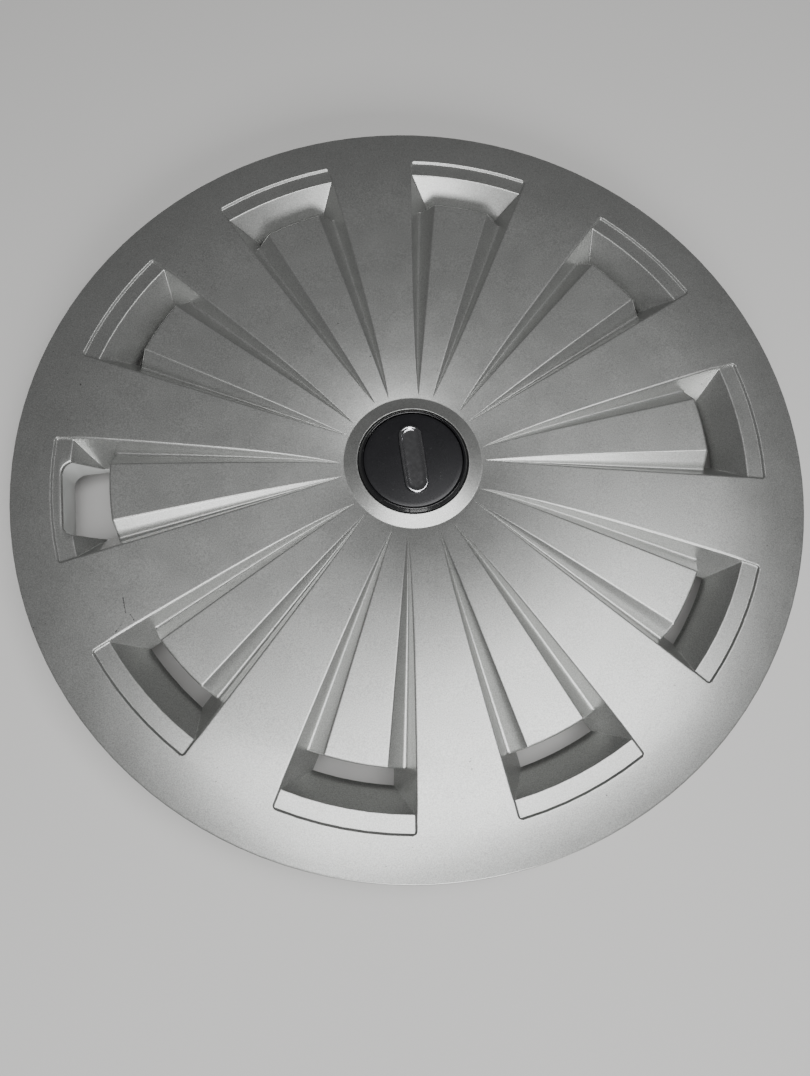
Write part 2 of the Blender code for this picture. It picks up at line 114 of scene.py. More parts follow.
# Pockets
TIP_R = 0.040
BLADE_SLOPE = 0.0976
GROOVE_WIDTH = 0.0143
GROOVE_REACH = 0.126
GROOVE_POWER = 0.8
GROOVE_DEPTH = 0.54
BLADE_RUN = 0.56
BLADE_END_R = 0.1626
SIDE_SLOPE = 1.6
SLOT_OUT_R = 0.1708
SLOT_Z = -0.0153
BASIN_LOW = -0.0165
LEDGE_IN_R = 0.1838
LEDGE_FOOT_R = 0.1926
LEDGE_OUT_R = 0.1936
LEDGE_DEPTH = 0.0012
CORNER_R = 0.0022
END_SLOPE = 1.17

# Valve opening
VALVE_HALF = 0.0205
VALVE_OUT_R = 0.1878
VALVE_CORNER = 0.0063
VALVE_CENTRE = Vector((VALVE_OUT_R - VALVE_CORNER, VALVE_HALF - VALVE_CORNER))
VALVE_LOW = -0.0220
VALVE_SILL_R = 0.1846
VALVE_WALL_IN = 0.1650
VALVE_WALL_CLEAR = 0.00002
VALVE_WALL_CELLS = 9

# Towers, seats and ribs behind the lands; a seat's groove is open SEAT_OPEN degrees to each side
TOWER_IN = 0.1685
TOWER_OUT = 0.1895
TOWER_HALF = 0.0140
TOWER_WALL = 0.0020
TOWER_CORNER = 0.0015
HIDDEN_TOP = 0.0014
VALVE_HIDDEN = 0.0016
SEAT_BLOCK_WALL = 0.0018
SEAT_GAP = 0.0003
SEAT_OPEN = 55
SEAT_STEPS = 18
RIB_THICK = 0.0018
RIB_LOW_IN = -0.0150
RIB_LOW_OUT = -0.0095
RIB_IN_SOCKET = 0.0008
RIB_IN_TOWER = 0.0005
RIB_SOCKET_DROP = 0.0016
RIB_CELLS = 24

# Wire ring
WIRE_Z = (WIRE_LOW.z + WIRE_HIGH.z) / 2
WIRE_R = (WIRE_HIGH.z - WIRE_LOW.z) / 2
WIRE_RING_R = 0.1814
WIRE_BEND_R = 0.1530
WIRE_BEND_START = math.radians(11.6)
WIRE_BEND_END = math.radians(8.6)
WIRE_STILL = WIRE_BEND_START + math.radians(0.4)
WIRE_STEP = 0.0005
WIRE_CELLS = 28
WIRE_SIDES = 12
CHANNEL_IN = 0.1767
CHANNEL_OUT = 0.1835
CHANNEL_TOP = 0.0141

# Clips; the neck leaves the round head CLIP_NECK degrees below its middle on each side
CLIP_HALF = 0.0100
CLIP_PIVOT_R = 0.1845
CLIP_PIVOT_Z = 0.0320
CLIP_HEAD_R = 0.0026
CLIP_HEAD_STEPS = 20
CLIP_NECK = 60
CLIP_TOUCH_R = CLIP_HIGH.y
CLIP_FOOT_Z = CLIP_LOW.z
FINGER_IN = 0.1832
FINGER_OUT = 0.1858
HOOK_TIP_R = 0.1790
HOOK_GAP = 0.0003
HOOK_ROOT = 0.0030
HOOK_TIP = 0.0012
CLIP_FOOT = 0.0008
CLIP_BARB = ((0.0015, 0.0072), (0.0, 0.0092), (0.0, 0.0116), (0.0016, 0.0134))
CLIP_SHOULDER = 0.0006
CLIP_SHOULDER_Z = 0.0172
CLIP_SHOULDER_TOP = 0.0200
CLIP_ROUNDS = (0.0004, 0.0003, 0.0005, 0.0005, 0.0003, 0.0004, 0.0008, 0.0006, 0.0010, 0.0012,
               0.0008, 0.0008, 0.0010, 0.0015)
CLIP_EDGE = 0.00035
WEB_OUTLINE = ((0.0004, 0.0285), (-0.0016, 0.0240), (-0.0016, 0.0182), (0.0004, 0.0160))
WEB_SPACING = 0.0070
WEB_HALF = 0.0005

# Centre cap
CAP_OUT_R = CAP_HIGH.x
CAP_LIP_R = 0.0276
SKIRT_R = 0.0262
SKIRT_BEAD_R = 0.0267
SKIRT_WALL = 0.0018
SKIRT_TAPER = 0.0006
BEAD_UP = (0.0045, 0.0037, 0.0027)
CAP_GAP = 0.0003
CAP_PAN = 0.0004
CAP_PAN_WALL = 0.0016
CAP_LIP = 0.0009
CAP_LIP_DROP = 0.0001
CAP_BEVEL_IN = 0.0008
CAP_BEVEL_DROP = 0.0015
CAP_EDGE_DROP = 0.0027
CAP_ROUNDS = (0.0002, 0.0003, 0.0006, 0.0008) + (0.0003,) * 7 + (0.0008,)
CAP_WIRE_R = 0.0007
CAP_WIRE_Z = -0.0125
CAP_STEPS = 144
CAP_WIRE_STEPS = 120
INSERT_RISE = 0.0009
INSERT_RIM = 0.0010
INSERT_CELLS = 12
INSERT_ROUNDS = (0.0004, 0.0003)
EMBLEM_RISE = 0.0014
EMBLEM_BASE = EMBLEM_HIGH.z - EMBLEM_RISE

# Badge section from its outer foot to its middle: inset from the outline and share of its rise
BADGE_LEVELS = ((0.0, 0.0), (0.0, 0.50), (0.0003, 0.83), (0.0008, 1.0), (0.0012, 1.0),
                (0.0017, 0.83), (0.0020, 0.50), (0.0025, 0.34), (0.0035, 0.30))
BADGE_SIDE = 4.0
BADGE_CELLS = 96

# Stage
FLOOR_HALF = 3.0
FLOOR_Z = -0.0002
OVERHEAD_PLACE = (0.12, -0.28, 1.30)
OVERHEAD_SIZE = (1.30, 0.70)
FRONT_PLACE = (0.0, -1.50, 0.95)
FRONT_SIZE = (0.90, 0.55)
CAMERA_PLACE = (-0.0414, -0.1602, 0.4542)
CAMERA_FORWARD = (0.0712, 0.2691, -0.9605)
CAMERA_UP = (0.1201, 0.9536, 0.2761)
SENSOR_WIDTH = 36.0
CLIP_START = 0.01

# Scuffs on the face: middle x and y, length along y and lean, then half-width and faded edge
SCUFFS = ((-0.1572, -0.0620, 0.010, 0.12), (-0.1607, -0.0735, 0.004, -0.9),
          (-0.1535, -0.0688, 0.004, 0.5))
SCUFF_HALF = 0.0002
SCUFF_FADE = 0.0007

# Colours of dirt and wear
DIRT = (0.05, 0.05, 0.05, 1.0)
SCUFF_COLOR = (0.03, 0.03, 0.032, 1.0)
RUST = (0.16, 0.10, 0.07, 1.0)
GLOSS_DUST = (0.12, 0.12, 0.12, 1.0)
SATIN_DUST = (0.2, 0.2, 0.2, 1.0)

# Edges
EDGE_ROUND = 0.0012
HOLLOW_ROUND = 0.0006
BLADE_ROUND = 0.0010
NOTCH_ROUND = 0.0010
SUPPORT = 0.0004
MERGE = 0.00001
HUB_FACE_ROUNDS = (0.0002, 0.0002, 0.00035, 0.0005)
HUB_BACK_ROUNDS = (0.0005, 0.0005)
END_ROUNDS = (0.0010, 0.0, 0.00035, 0.0006)
RIM_ROUNDS = (0.0, 0.0, 0.0, 0.0009, 0.0004, 0.0004, 0.0003)

# Largest roundings as shares: of a groove's width, of the sill beside the valve opening, and of
# a straight between two corners
EDGE_SHARE = 0.16
HOLLOW_SHARE = 0.10
NOTCH_SHARE = 0.8
CUT_SHARE = 0.48

# Angles over which an edge stays sharp or is rounded, in degrees
FACE_SHARP = 60.0
PIECE_SHARP = 50.0
CLIP_SHARP = 40.0

# Cells across a pocket, in order from its centre line
BLADE_CELLS = 3
ROUND_CELLS = 3
FLANK_CELLS = 3
HOLLOW_CELLS = 2
STRIPE_CELLS = 1
SIDE_CELLS = 3
LAND_CELLS = 4
SIDE_COLUMN = BLADE_CELLS + ROUND_CELLS + FLANK_CELLS + 2 * HOLLOW_CELLS + STRIPE_CELLS

# Cells across its outer end: the floor and the lower part of the side wall
FLOOR_CELLS = 4
LOW_CELLS = 3

# Rows along it, closer together near its tip
FACE_ROWS = 26
ROW_POWER = 1.3
SLOT_ROWS = 3
SILL_ROWS = 5


# ---------------- outlines

def face_height(r):
    """Height of the moulded face over its land level at radius r."""
    if r < CROWN_R:
        s = (CROWN_R - r) / (CROWN_R - COLLAR_R)
        return CROWN_H - DISH_DROP * (DISH_EVEN * s + (1 - DISH_EVEN) * s ** 4)
    out = r - CROWN_R
    return CROWN_H + CROWN_SLOPE * out - RIM_FALL * out ** 2


def skin_point(r, wall, step=0.0):
    """(radius, height) of the face, or of its back, a step below the moulded surface."""
    return (r, face_height(r) - step - wall)


def groove_width(r):
    """Width of the groove beside a blade; it fades out at the tip."""
    return GROOVE_WIDTH * (max(r - TIP_R, 0.0) / GROOVE_REACH) ** GROOVE_POWER


def land_edge(r):
    """Half-width of a pocket at the land, with a round corner where it meets the outer arc."""
    at = min(r, LEDGE_OUT_R)
    half = BLADE_SLOPE * at + groove_width(at)
    into = at - (LEDGE_OUT_R - CORNER_R)
    if into > 0:
        half -= CORNER_R - math.sqrt(max(CORNER_R ** 2 - into ** 2, 0.0))
    return half * max(r / LEDGE_OUT_R, 1.0)


def side_y(r, below, wall):
    """Sideways place of a pocket's side wall, or of its back, at a depth below the face."""
    return land_edge(r) + math.hypot(1, 1 / SIDE_SLOPE) * wall - below / SIDE_SLOPE


def flank_y(r, below, wall):
    """Sideways place of a blade's flank, or of its back, at a depth below the face."""
    flank = GROOVE_DEPTH / BLADE_RUN
    return BLADE_SLOPE * r - math.hypot(1, 1 / flank) * wall + below / flank


def pocket_low(wall):
    """Height of the low edge round a slot, on the face or on its back."""
    return BASIN_LOW if wall else SLOT_Z


def end_r(z, wall):
    """Radius of the pocket's sloping end wall, or of its back, at height z."""
    return SLOT_OUT_R + math.hypot(1, 1 / END_SLOPE) * wall + (z - SLOT_Z) / END_SLOPE


def spread(count, length, short_start, short_end):
    """Shares along a straight, with a short cell beside each corner that asks for one."""
    if count < 1 + short_start + short_end:
        return [i / count for i in range(1, count + 1)]
    short = min(SUPPORT / max(length, SUPPORT), 1 / count)
    inner = count - short_start - short_end
    first = short if short_start else 0.0
    last = 1 - short if short_end else 1.0
    shares = [short] if short_start else []
    shares += [first + (last - first) * i / inner for i in range(1, inner + 1)]
    if short_end:
        shares.append(1.0)
    return shares


def rounded(corners, radii, cells, bends):
    """Points along a polyline whose inner corners are rounded.

    cells counts the steps along each straight, bends the steps round each inner corner.
    """
    corners = [Vector(c) for c in corners]
    straights = [b - a for a, b in zip(corners, corners[1:])]
    ways = [s.normalized() if s.length > 1e-9 else Vector((0.0, 0.0)) for s in straights]
    cuts = [0.0]
    for i, radius in enumerate(radii):
        cut = 0.0
        if min(straights[i].length, straights[i + 1].length) > 1e-7:
            cut = radius * math.tan(ways[i].angle(ways[i + 1]) / 2)
        cuts.append(min(cut, *(CUT_SHARE * s.length for s in straights[i:i + 2])))
    cuts.append(0.0)
    points = [corners[0]]
    for i, count in enumerate(cells):
        start = corners[i] + ways[i] * cuts[i]
        end = corners[i + 1] - ways[i] * cuts[i + 1]
        for share in spread(count, (end - start).length, i > 0, i < len(cells) - 1):
            points.append(start.lerp(end, share))
        if i < len(bends):
            corner = corners[i + 1]
            leave = corner + ways[i + 1] * cuts[i + 1]
            for step in range(1, bends[i] + 1):
                t = step / bends[i]
                points.append(end.lerp(corner, t).lerp(corner.lerp(leave, t), t))
    return points


# ---------------- mesh tools

def place(point):
    """Frame position of a sector point."""
    r, y, z = point
    return Vector((math.sqrt(max(r * r - y * y, 0.0)), y, FACE_Z + z))


def as_point(point):
    """A point that is already in frame axes."""
    return Vector(point)


def patch(bm, rows, put=place):
    """Add a grid and move its vertices to rows of points."""
    columns = len(rows[0]) - 1
    grid = bmesh.ops.create_grid(bm, x_segments=columns, y_segments=len(rows) - 1, size=0.5)
    for index, vert in enumerate(grid["verts"]):
        row, column = divmod(index, columns + 1)
        vert.co = put(rows[row][column])


def merge(bm):
    """Join vertices that lie on each other."""
    bmesh.ops.remove_doubles(bm, verts=bm.verts, dist=MERGE)


def rotate(bm, parts, angle):
    """Turn the vertices among some parts of a mesh about the cover's axis."""
    verts = [v for v in parts if isinstance(v, bmesh.types.BMVert)]
    bmesh.ops.rotate(bm, verts=verts, cent=(0, 0, 0), matrix=Matrix.Rotation(angle, 3, "Z"))


def turn_copies(bm, angles):
    """Replace a piece made about the +X axis by copies turned to the given angles."""
    parts = bm.verts[:] + bm.edges[:] + bm.faces[:]
    for angle in angles[1:]:
        rotate(bm, bmesh.ops.duplicate(bm, geom=parts)["geom"], angle)
    rotate(bm, parts, angles[0])


def arc_points(centre, radius, first, last, steps):
    """Points round an arc, angles in degrees."""
    points = []
    for i in range(steps + 1):
        angle = math.radians(first + (last - first) * i / steps)
        points.append((centre[0] + radius * math.cos(angle), centre[1] + radius * math.sin(angle)))
    return points


def slab(bm, outline, half):
    """Add a closed (radius, height) outline as a solid between y = -half and +half."""
    verts = [bm.verts.new((r, -half, z)) for r, z in outline]
    face = bm.faces.new(verts)
    made = bmesh.ops.extrude_face_region(bm, geom=[face], use_keep_orig=True)["geom"]
    moved = [v for v in made if isinstance(v, bmesh.types.BMVert)]
    bmesh.ops.translate(bm, verts=moved, vec=(0, 2 * half, 0))


def soften(bm, width, degrees):
    """Round every edge that is sharper than the given angle."""
    sharp = [e for e in bm.edges if e.is_manifold and e.calc_face_angle() > math.radians(degrees)]
    bmesh.ops.bevel(bm, geom=sharp, offset=width, offset_type="OFFSET", segments=2,
                    profile=0.5, affect="EDGES", clamp_overlap=True, material=-1)


def close_ends(bm, sides):
    """Join the seam of a closed strip of faces and fill its open ends."""
    merge(bm)
    bmesh.ops.holes_fill(bm, edges=[e for e in bm.edges if e.is_boundary], sides=sides)


def turned(points, steps=CAP_STEPS):
    """Solid turned about the Z axis from a chain or closed loop of (radius, height)."""
    bm = bmesh.new()
    verts = [bm.verts.new((r, 0.0, z)) for r, z in points]
    edges = [bm.edges.new(pair) for pair in zip(verts, verts[1:])]
    bmesh.ops.spin(bm, geom=verts + edges, cent=(0, 0, 0), axis=(0, 0, 1), angle=2 * math.pi,
                   steps=steps, use_merge=True)
    merge(bm)
    return bm


def as_mesh(name, bm):
    """Mesh made from a bmesh, which is freed."""
    mesh = bpy.data.meshes.new(name)
    bm.to_mesh(mesh)
    bm.free()
    return mesh


def add_object(name, data):
    """Add an object that holds a mesh, a lamp or a camera to the scene."""
    obj = bpy.data.objects.new(name, data)
    bpy.context.scene.collection.objects.link(obj)
    return obj


def thicken(bm, thickness):
    """Give a sheet a wall of even thickness, centred on the sheet."""
    bmesh.ops.recalc_face_normals(bm, faces=bm.faces)
    obj = add_object("sheet", as_mesh("sheet", bm))
    wall = obj.modifiers.new("Wall", "SOLIDIFY")
    wall.thickness = thickness
    wall.offset = 0.0
    wall.use_even_offset = True
    evaluated = obj.evaluated_get(bpy.context.evaluated_depsgraph_get())
    solid = bmesh.new()
    solid.from_mesh(evaluated.to_mesh())
    evaluated.to_mesh_clear()
    bpy.data.meshes.remove(obj.data)
    return solid


# ---------------- sectors of the cover

def pocket_row(r, top, wall, drop=0.0):
    """Row across blade, groove and land; drop lowers the blade and groove but not the side."""
    depth = GROOVE_DEPTH * groove_width(r)
    corners = [(0.0, top), (flank_y(r, wall, wall), top),
               (flank_y(r, wall + depth, wall), top - depth),
               (side_y(r, wall + depth, wall), top - depth),
               (side_y(r, wall, wall), top), (r * math.sin(HALF_PITCH), top)]
    convex = min(EDGE_ROUND, EDGE_SHARE * groove_width(r))
    hollow = min(HOLLOW_ROUND, HOLLOW_SHARE * groove_width(r))
    cells = (BLADE_CELLS, FLANK_CELLS, STRIPE_CELLS, SIDE_CELLS, LAND_CELLS)
    bends = (ROUND_CELLS, HOLLOW_CELLS, HOLLOW_CELLS, ROUND_CELLS)
    row = []
    for i, (y, z) in enumerate(rounded(corners, (convex, hollow, hollow, convex), cells, bends)):
        fade = min(max((SIDE_COLUMN - i) / HOLLOW_CELLS, 0.0), 1.0)
        row.append((r, y, z - drop * fade))
    return row


def end_row(r, low, wall, split, start=0.0, top=None):
    """Row across a pocket's floor at height low, up its side and over the land.

    The row ends on the land unless a height is given as top.
    """
    if top is None:
        top = face_height(r) - wall
    foot = side_y(r, top + wall - low, wall)
    edge = side_y(r, wall, wall)
    corners = [(min(start, foot), low), (foot, low),
               (foot + (edge - foot) * split, low + (top - low) * split),
               (edge, top), (r * math.sin(HALF_PITCH), top)]
    hollow = min(HOLLOW_ROUND, max(r - end_r(pocket_low(wall), wall), 0.0) / 2)
    cells = (FLOOR_CELLS, LOW_CELLS, SIDE_CELLS, LAND_CELLS)
    bends = (HOLLOW_CELLS, 0, ROUND_CELLS)
    return [(r, y, z) for y, z in rounded(corners, (hollow, 0.0, EDGE_ROUND), cells, bends)]


def hub_rows(wall):
    """(radius, height) of the rows from the socket tube to the blade's tip."""
    tip = skin_point(TIP_R, wall)
    if wall:
        corners = [(SOCKET_R, SOCKET_LOW), (SOCKET_R, SEAT_FLOOR - wall),
                   (COLLAR_R, COLLAR_Z - wall), tip]
        return rounded(corners, HUB_BACK_ROUNDS, (2, 2, 1), (2, 2))
    corners = [(BORE_R, SOCKET_LOW), (BORE_R, SEAT_FLOOR), (SEAT_R, SEAT_FLOOR),
               (SEAT_R, SEAT_TOP), (COLLAR_R, COLLAR_Z), tip]
    return rounded(corners, HUB_FACE_ROUNDS, (2, 2, 2, 3, 2), (2, 2, 3, 2))


def end_profile(wall):
    """(radius, height) rows from the slot up the end wall, over the ledge and onto the land.

    Also gives the row where the ledge begins and the row at the foot of its step.
    """
    low = pocket_low(wall)
    sill = skin_point(LEDGE_IN_R, wall, LEDGE_DEPTH)[1]
    shift = 0.5 * wall
    corners = [(end_r(low, wall), low), (end_r(sill, wall), sill),
               skin_point(LEDGE_OUT_R - CORNER_R + shift, wall, LEDGE_DEPTH),
               skin_point(LEDGE_FOOT_R + shift, wall, LEDGE_DEPTH),
               skin_point(LEDGE_OUT_R + shift, wall), skin_point(RIM_START_R + shift, wall)]
    rows = rounded(corners, END_ROUNDS, (SILL_ROWS, 3, 3, 2, 2), (4, 0, 2, 3))
    ledge_row = SILL_ROWS + 4
    return rows, ledge_row, ledge_row + 6


def rim_rows(wall):
    """(radius, height) rows from the land round the rim to the seat ring."""
    if wall:
        return [skin_point(r, wall) for r in RIM_BACK_RADII] + [(RIM_SEAT_IN, RIM_SEAT_Z)]
    corners = [skin_point(r, wall) for r in RIM_FACE_RADII]
    corners += [(COVER_R, RIM_LOW), (RIM_SEAT_OUT, RIM_LOW), (RIM_SEAT_OUT, RIM_SEAT_Z),
                (RIM_SEAT_IN, RIM_SEAT_Z)]
    return rounded(corners, RIM_ROUNDS, (1, 1, 1, 3, 3, 3, 3, 2), (0, 0, 0, 5, 2, 2, 2))[1:]


def slot_low(r, wall, valve):
    """Height where a slot's side wall ends; the valve opening cuts it a little higher."""
    low = pocket_low(wall)
    if not valve:
        return low
    foot = side_y(r, face_height(r) - low, wall)
    cut = max(foot, min(VALVE_HALF + wall, foot + r - (BLADE_END_R - wall)))
    return face_height(r) - (side_y(r, 0.0, wall) - cut) * SIDE_SLOPE


def notch_point(r, grow):
    """Point of the valve opening's outline at radius r, grown outwards, and its normal."""
    half = VALVE_HALF + grow
    corner = VALVE_CORNER + grow
    x = math.sqrt(r * r - half * half)
    if x <= VALVE_CENTRE.x:
        return Vector((x, half)), Vector((0.0, 1.0))
    reach = (r * r - VALVE_CENTRE.length_squared - corner * corner) / (2 * corner)
    angle = math.asin(reach / VALVE_CENTRE.length) - math.atan2(VALVE_CENTRE.y, VALVE_CENTRE.x)
    normal = Vector((math.sin(angle), math.cos(angle)))
    return VALVE_CENTRE + normal * corner, normal


def notch_end(r, grow, arc_cells, straight_cells):
    """Outline of the opening from radius r round its corner to the centre line, with normals."""
    start, normal = notch_point(r, grow)
    corner = VALVE_CORNER + grow
    first = math.atan2(normal.x, normal.y)
    stations = [(start, normal)]
    for i in range(1, arc_cells + 1):
        angle = first + (math.pi / 2 - first) * i / arc_cells
        normal = Vector((math.sin(angle), math.cos(angle)))
        stations.append((VALVE_CENTRE + normal * corner, normal))
    for i in range(1, straight_cells + 1):
        y = VALVE_CENTRE.y * (1 - i / straight_cells)
        stations.append((Vector((VALVE_CENTRE.x + corner, y)), Vector((1.0, 0.0))))
    return stations


def height_on(profile, r):
    """Height of a profile at radius r."""
    for (r0, z0), (r1, z1) in zip(profile, profile[1:]):
        if r <= r1:
            return z0 + (z1 - z0) * (r - r0) / (r1 - r0)
    return profile[-1][1]


def valve_end(bm, profile, ledge_row, foot_row, wall, split):
    """Pocket end with the valve opening cut through it; returns the edge along the cut."""
    def row_at(index, start=0.0):
        return end_row(*profile[index], wall, split, start)

    stations = []
    side_rows = []
    for i in range(ledge_row + 1):
        r, z = profile[i]
        foot = side_y(r, face_height(r) - z, wall)
        edge = 0.0 if wall else min(NOTCH_ROUND, NOTCH_SHARE * (foot - VALVE_HALF))
        point, normal = notch_point(r, wall + edge)
        stations.append((point, normal, edge, z))
        side_rows.append(row_at(i, point.y))
    patch(bm, side_rows)
    ledge_rows = [row_at(i) for i in range(ledge_row, foot_row + 1)]
    patch(bm, [row[FLOOR_CELLS:] for row in ledge_rows])
    outer = [row[FLOOR_CELLS] for row in ledge_rows]
    outer += ledge_rows[-1][FLOOR_CELLS - 1::-1]
    edge = 0.0 if wall else NOTCH_ROUND
    inner = notch_end(profile[ledge_row][0], wall + edge, foot_row - ledge_row, FLOOR_CELLS)
    ledge = []
    for (point, normal), (r1, y1, z1) in zip(inner, outer):
        r0, y0, z0 = point.length, point.y, height_on(profile, point.length)
        stations.append((point, normal, edge, z0))
        length = math.hypot(r1 - r0, y1 - y0)
        shares = [0.0] + spread(FLOOR_CELLS, length, False, True)
        ledge.append([(r0 + (r1 - r0) * s, y0 + (y1 - y0) * s, z0 + (z1 - z0) * s)
                      for s in shares])
    patch(bm, ledge)
    del stations[ledge_row + 1]
    lip = []
    for step in range(ROUND_CELLS + 1):
        turn = step / ROUND_CELLS * math.pi / 2
        ring = []
        for point, normal, edge, z in stations:
            at = point - normal * edge * math.sin(turn)
            ring.append((at.length, at.y, z - edge * (1 - math.cos(turn))))
        lip.append(ring)
    patch(bm, lip)
    band = side_rows[0][FLOOR_CELLS - 1::-1]
    return band + [ring[0] for ring in lip[1:]] + lip[-1][1:]


def skin(bm, wall, valve):
    """Add one skin of a half sector; wall 0 is the face.

    Returns the row where it starts at the socket and the edge it leaves round the slot.
    """
    low = pocket_low(wall)
    blade_r = BLADE_END_R - wall
    blade_round = HOLLOW_ROUND if wall else BLADE_ROUND
    rows = [pocket_row(r, z, wall) for r, z in hub_rows(wall)[:-1]]
    run = blade_r - blade_round - SUPPORT - TIP_R
    for i in range(FACE_ROWS + 1):
        r = TIP_R + run * (i / FACE_ROWS) ** ROW_POWER
        rows.append(pocket_row(r, face_height(r) - wall, wall))
    for i in range(ROUND_CELLS + 1):
        turn = i / ROUND_CELLS * math.pi / 2
        r = blade_r - blade_round * (1 - math.sin(turn))
        drop = blade_round * (1 - math.cos(turn))
        rows.append(pocket_row(r, face_height(r) - wall, wall, drop))
    patch(bm, rows)

    brink = rows[-1][:SIDE_COLUMN + 1]
    _, exit_y, exit_z = brink[-1]
    top = face_height(blade_r) - wall
    split = (exit_z - low) / (top - low)
    profile, ledge_row, foot_row = end_profile(wall)
    slot_rows = []
    for i in range(SLOT_ROWS + 1):
        r = blade_r + (profile[0][0] - blade_r) * i / SLOT_ROWS
        z = slot_low(r, wall, valve)
        row = end_row(r, z, wall, split, start=1.0)
        slot_rows.append(row[FLOOR_CELLS + HOLLOW_CELLS:])
    patch(bm, slot_rows)

    foot_y = slot_rows[0][0][1]
    wall_rows = []
    for _, _, z in slot_rows[0][:LOW_CELLS + 1]:
        share = (z - low) / (exit_z - low)
        wall_rows.append([(blade_r, y * (foot_y / exit_y * (1 - share) + share),
                           low + (at - low) * share) for _, y, at in brink])
    patch(bm, wall_rows)

    edge = wall_rows[0] + [row[0] for row in slot_rows[1:]]
    if valve:
        edge += valve_end(bm, profile, ledge_row, foot_row, wall, split)
        profile = profile[foot_row:]
    full_rows = [end_row(r, z, wall, split) for r, z in profile]
    if not valve:
        edge += full_rows[0][FLOOR_CELLS - 1::-1]
    full_rows += [end_row(r, z, 0.0, split, top=z) for r, z in rim_rows(wall)]
    patch(bm, full_rows)
    return rows[0], edge


def sector(valve):
    """A whole sector of the cover, face and back, about the +X axis."""
    bm = bmesh.new()
    face_hub, face_edge = skin(bm, 0.0, valve)
    back_hub, back_edge = skin(bm, WALL, valve)
    patch(bm, [face_hub, back_hub])
    step = SLOT_Z - BASIN_LOW
    lowered = [(r, y, z - step) for r, y, z in face_edge]
    patch(bm, [face_edge, lowered, back_edge])
    merge(bm)
    bmesh.ops.mirror(bm, geom=bm.verts[:] + bm.edges[:] + bm.faces[:], axis="Y",
                     matrix=Matrix.Identity(4), merge_dist=MERGE)
    return bm


def cover_shell():
    """The moulded face, rim and socket as one closed shell."""
    bm = sector(valve=False)
    plain = SPOKES - 1
    rotate(bm, bm.verts, -PITCH * (plain - 1) / 2)
    bmesh.ops.spin(bm, geom=bm.verts[:] + bm.edges[:] + bm.faces[:], cent=(0, 0, 0),
                   axis=(0, 0, 1), angle=PITCH * (plain - 1), steps=plain - 1,
                   use_duplicate=True)
    opened = sector(valve=True)
    rotate(opened, opened.verts, VALVE_ANGLE)
    mesh = as_mesh("valve_sector", opened)
    bm.from_mesh(mesh)
    bpy.data.meshes.remove(mesh)
    merge(bm)
    return bm


# ---------------- back of the cover

def tower_walls():
    """U-shaped walls of the ten clip towers, one sheet each, with the wire's channel cut out."""
    bm = bmesh.new()
    y = TOWER_HALF - TOWER_WALL / 2
    back = TOWER_IN + TOWER_WALL / 2
    corners = [(TOWER_OUT, -y), (CHANNEL_OUT, -y), (CHANNEL_IN, -y), (back, -y),
               (back, y), (CHANNEL_IN, y), (CHANNEL_OUT, y), (TOWER_OUT, y)]
    plan = rounded(corners, (0, 0, TOWER_CORNER, TOWER_CORNER, 0, 0), (1,) * 7,
                   (0, 0, 3, 3, 0, 0))
    rows = [[(x, y, 0.0) for x, y in plan], [(x, y, CHANNEL_TOP) for x, y in plan]]
    rows.append([(x, y, FACE_Z + face_height(math.hypot(x, y)) - HIDDEN_TOP) for x, y in plan])
    patch(bm, rows, as_point)
    channel = []
    for face in bm.faces:
        centre = face.calc_center_median()
        if CHANNEL_IN < centre.x < CHANNEL_OUT and centre.z < CHANNEL_TOP:
            channel.append(face)
    bmesh.ops.delete(bm, geom=channel, context="FACES")
    turn_copies(bm, LAND_ANGLES)
    return bm


def clip_seats():
    """Grooved blocks under the plate that hold the clips' round heads."""
    bm = bmesh.new()
    inner = CLIP_HEAD_R + SEAT_GAP
    outer = inner + SEAT_BLOCK_WALL
    lip_z = CLIP_PIVOT_Z - inner * math.cos(math.radians(SEAT_OPEN))
    top = FACE_Z + face_height(CLIP_PIVOT_R) - HIDDEN_TOP
    outline = [(CLIP_PIVOT_R + outer, top), (CLIP_PIVOT_R - outer, top),
               (CLIP_PIVOT_R - outer, lip_z)]
    outline += arc_points((CLIP_PIVOT_R, CLIP_PIVOT_Z), inner,
                          270 - SEAT_OPEN, SEAT_OPEN - 90, SEAT_STEPS)
    outline.append((CLIP_PIVOT_R + outer, lip_z))
    slab(bm, outline, TOWER_HALF - TOWER_WALL)
    turn_copies(bm, LAND_ANGLES)
    return bm


def rib_sheets():
    """Radial ribs from the socket tube to the towers, as sheets."""
    bm = bmesh.new()
    start = SOCKET_R - RIB_IN_SOCKET
    end = TOWER_IN + RIB_IN_TOWER
    low, high = [], []
    for i in range(RIB_CELLS + 1):
        share = i / RIB_CELLS
        r = start + (end - start) * share
        under = face_height(max(r, COLLAR_R)) - HIDDEN_TOP
        low.append((r, 0.0, FACE_Z + RIB_LOW_IN + (RIB_LOW_OUT - RIB_LOW_IN) * share))
        high.append((r, 0.0, FACE_Z + under - RIB_SOCKET_DROP * (r < SEAT_R)))
    patch(bm, [low, high], as_point)
    turn_copies(bm, LAND_ANGLES)
    return bm


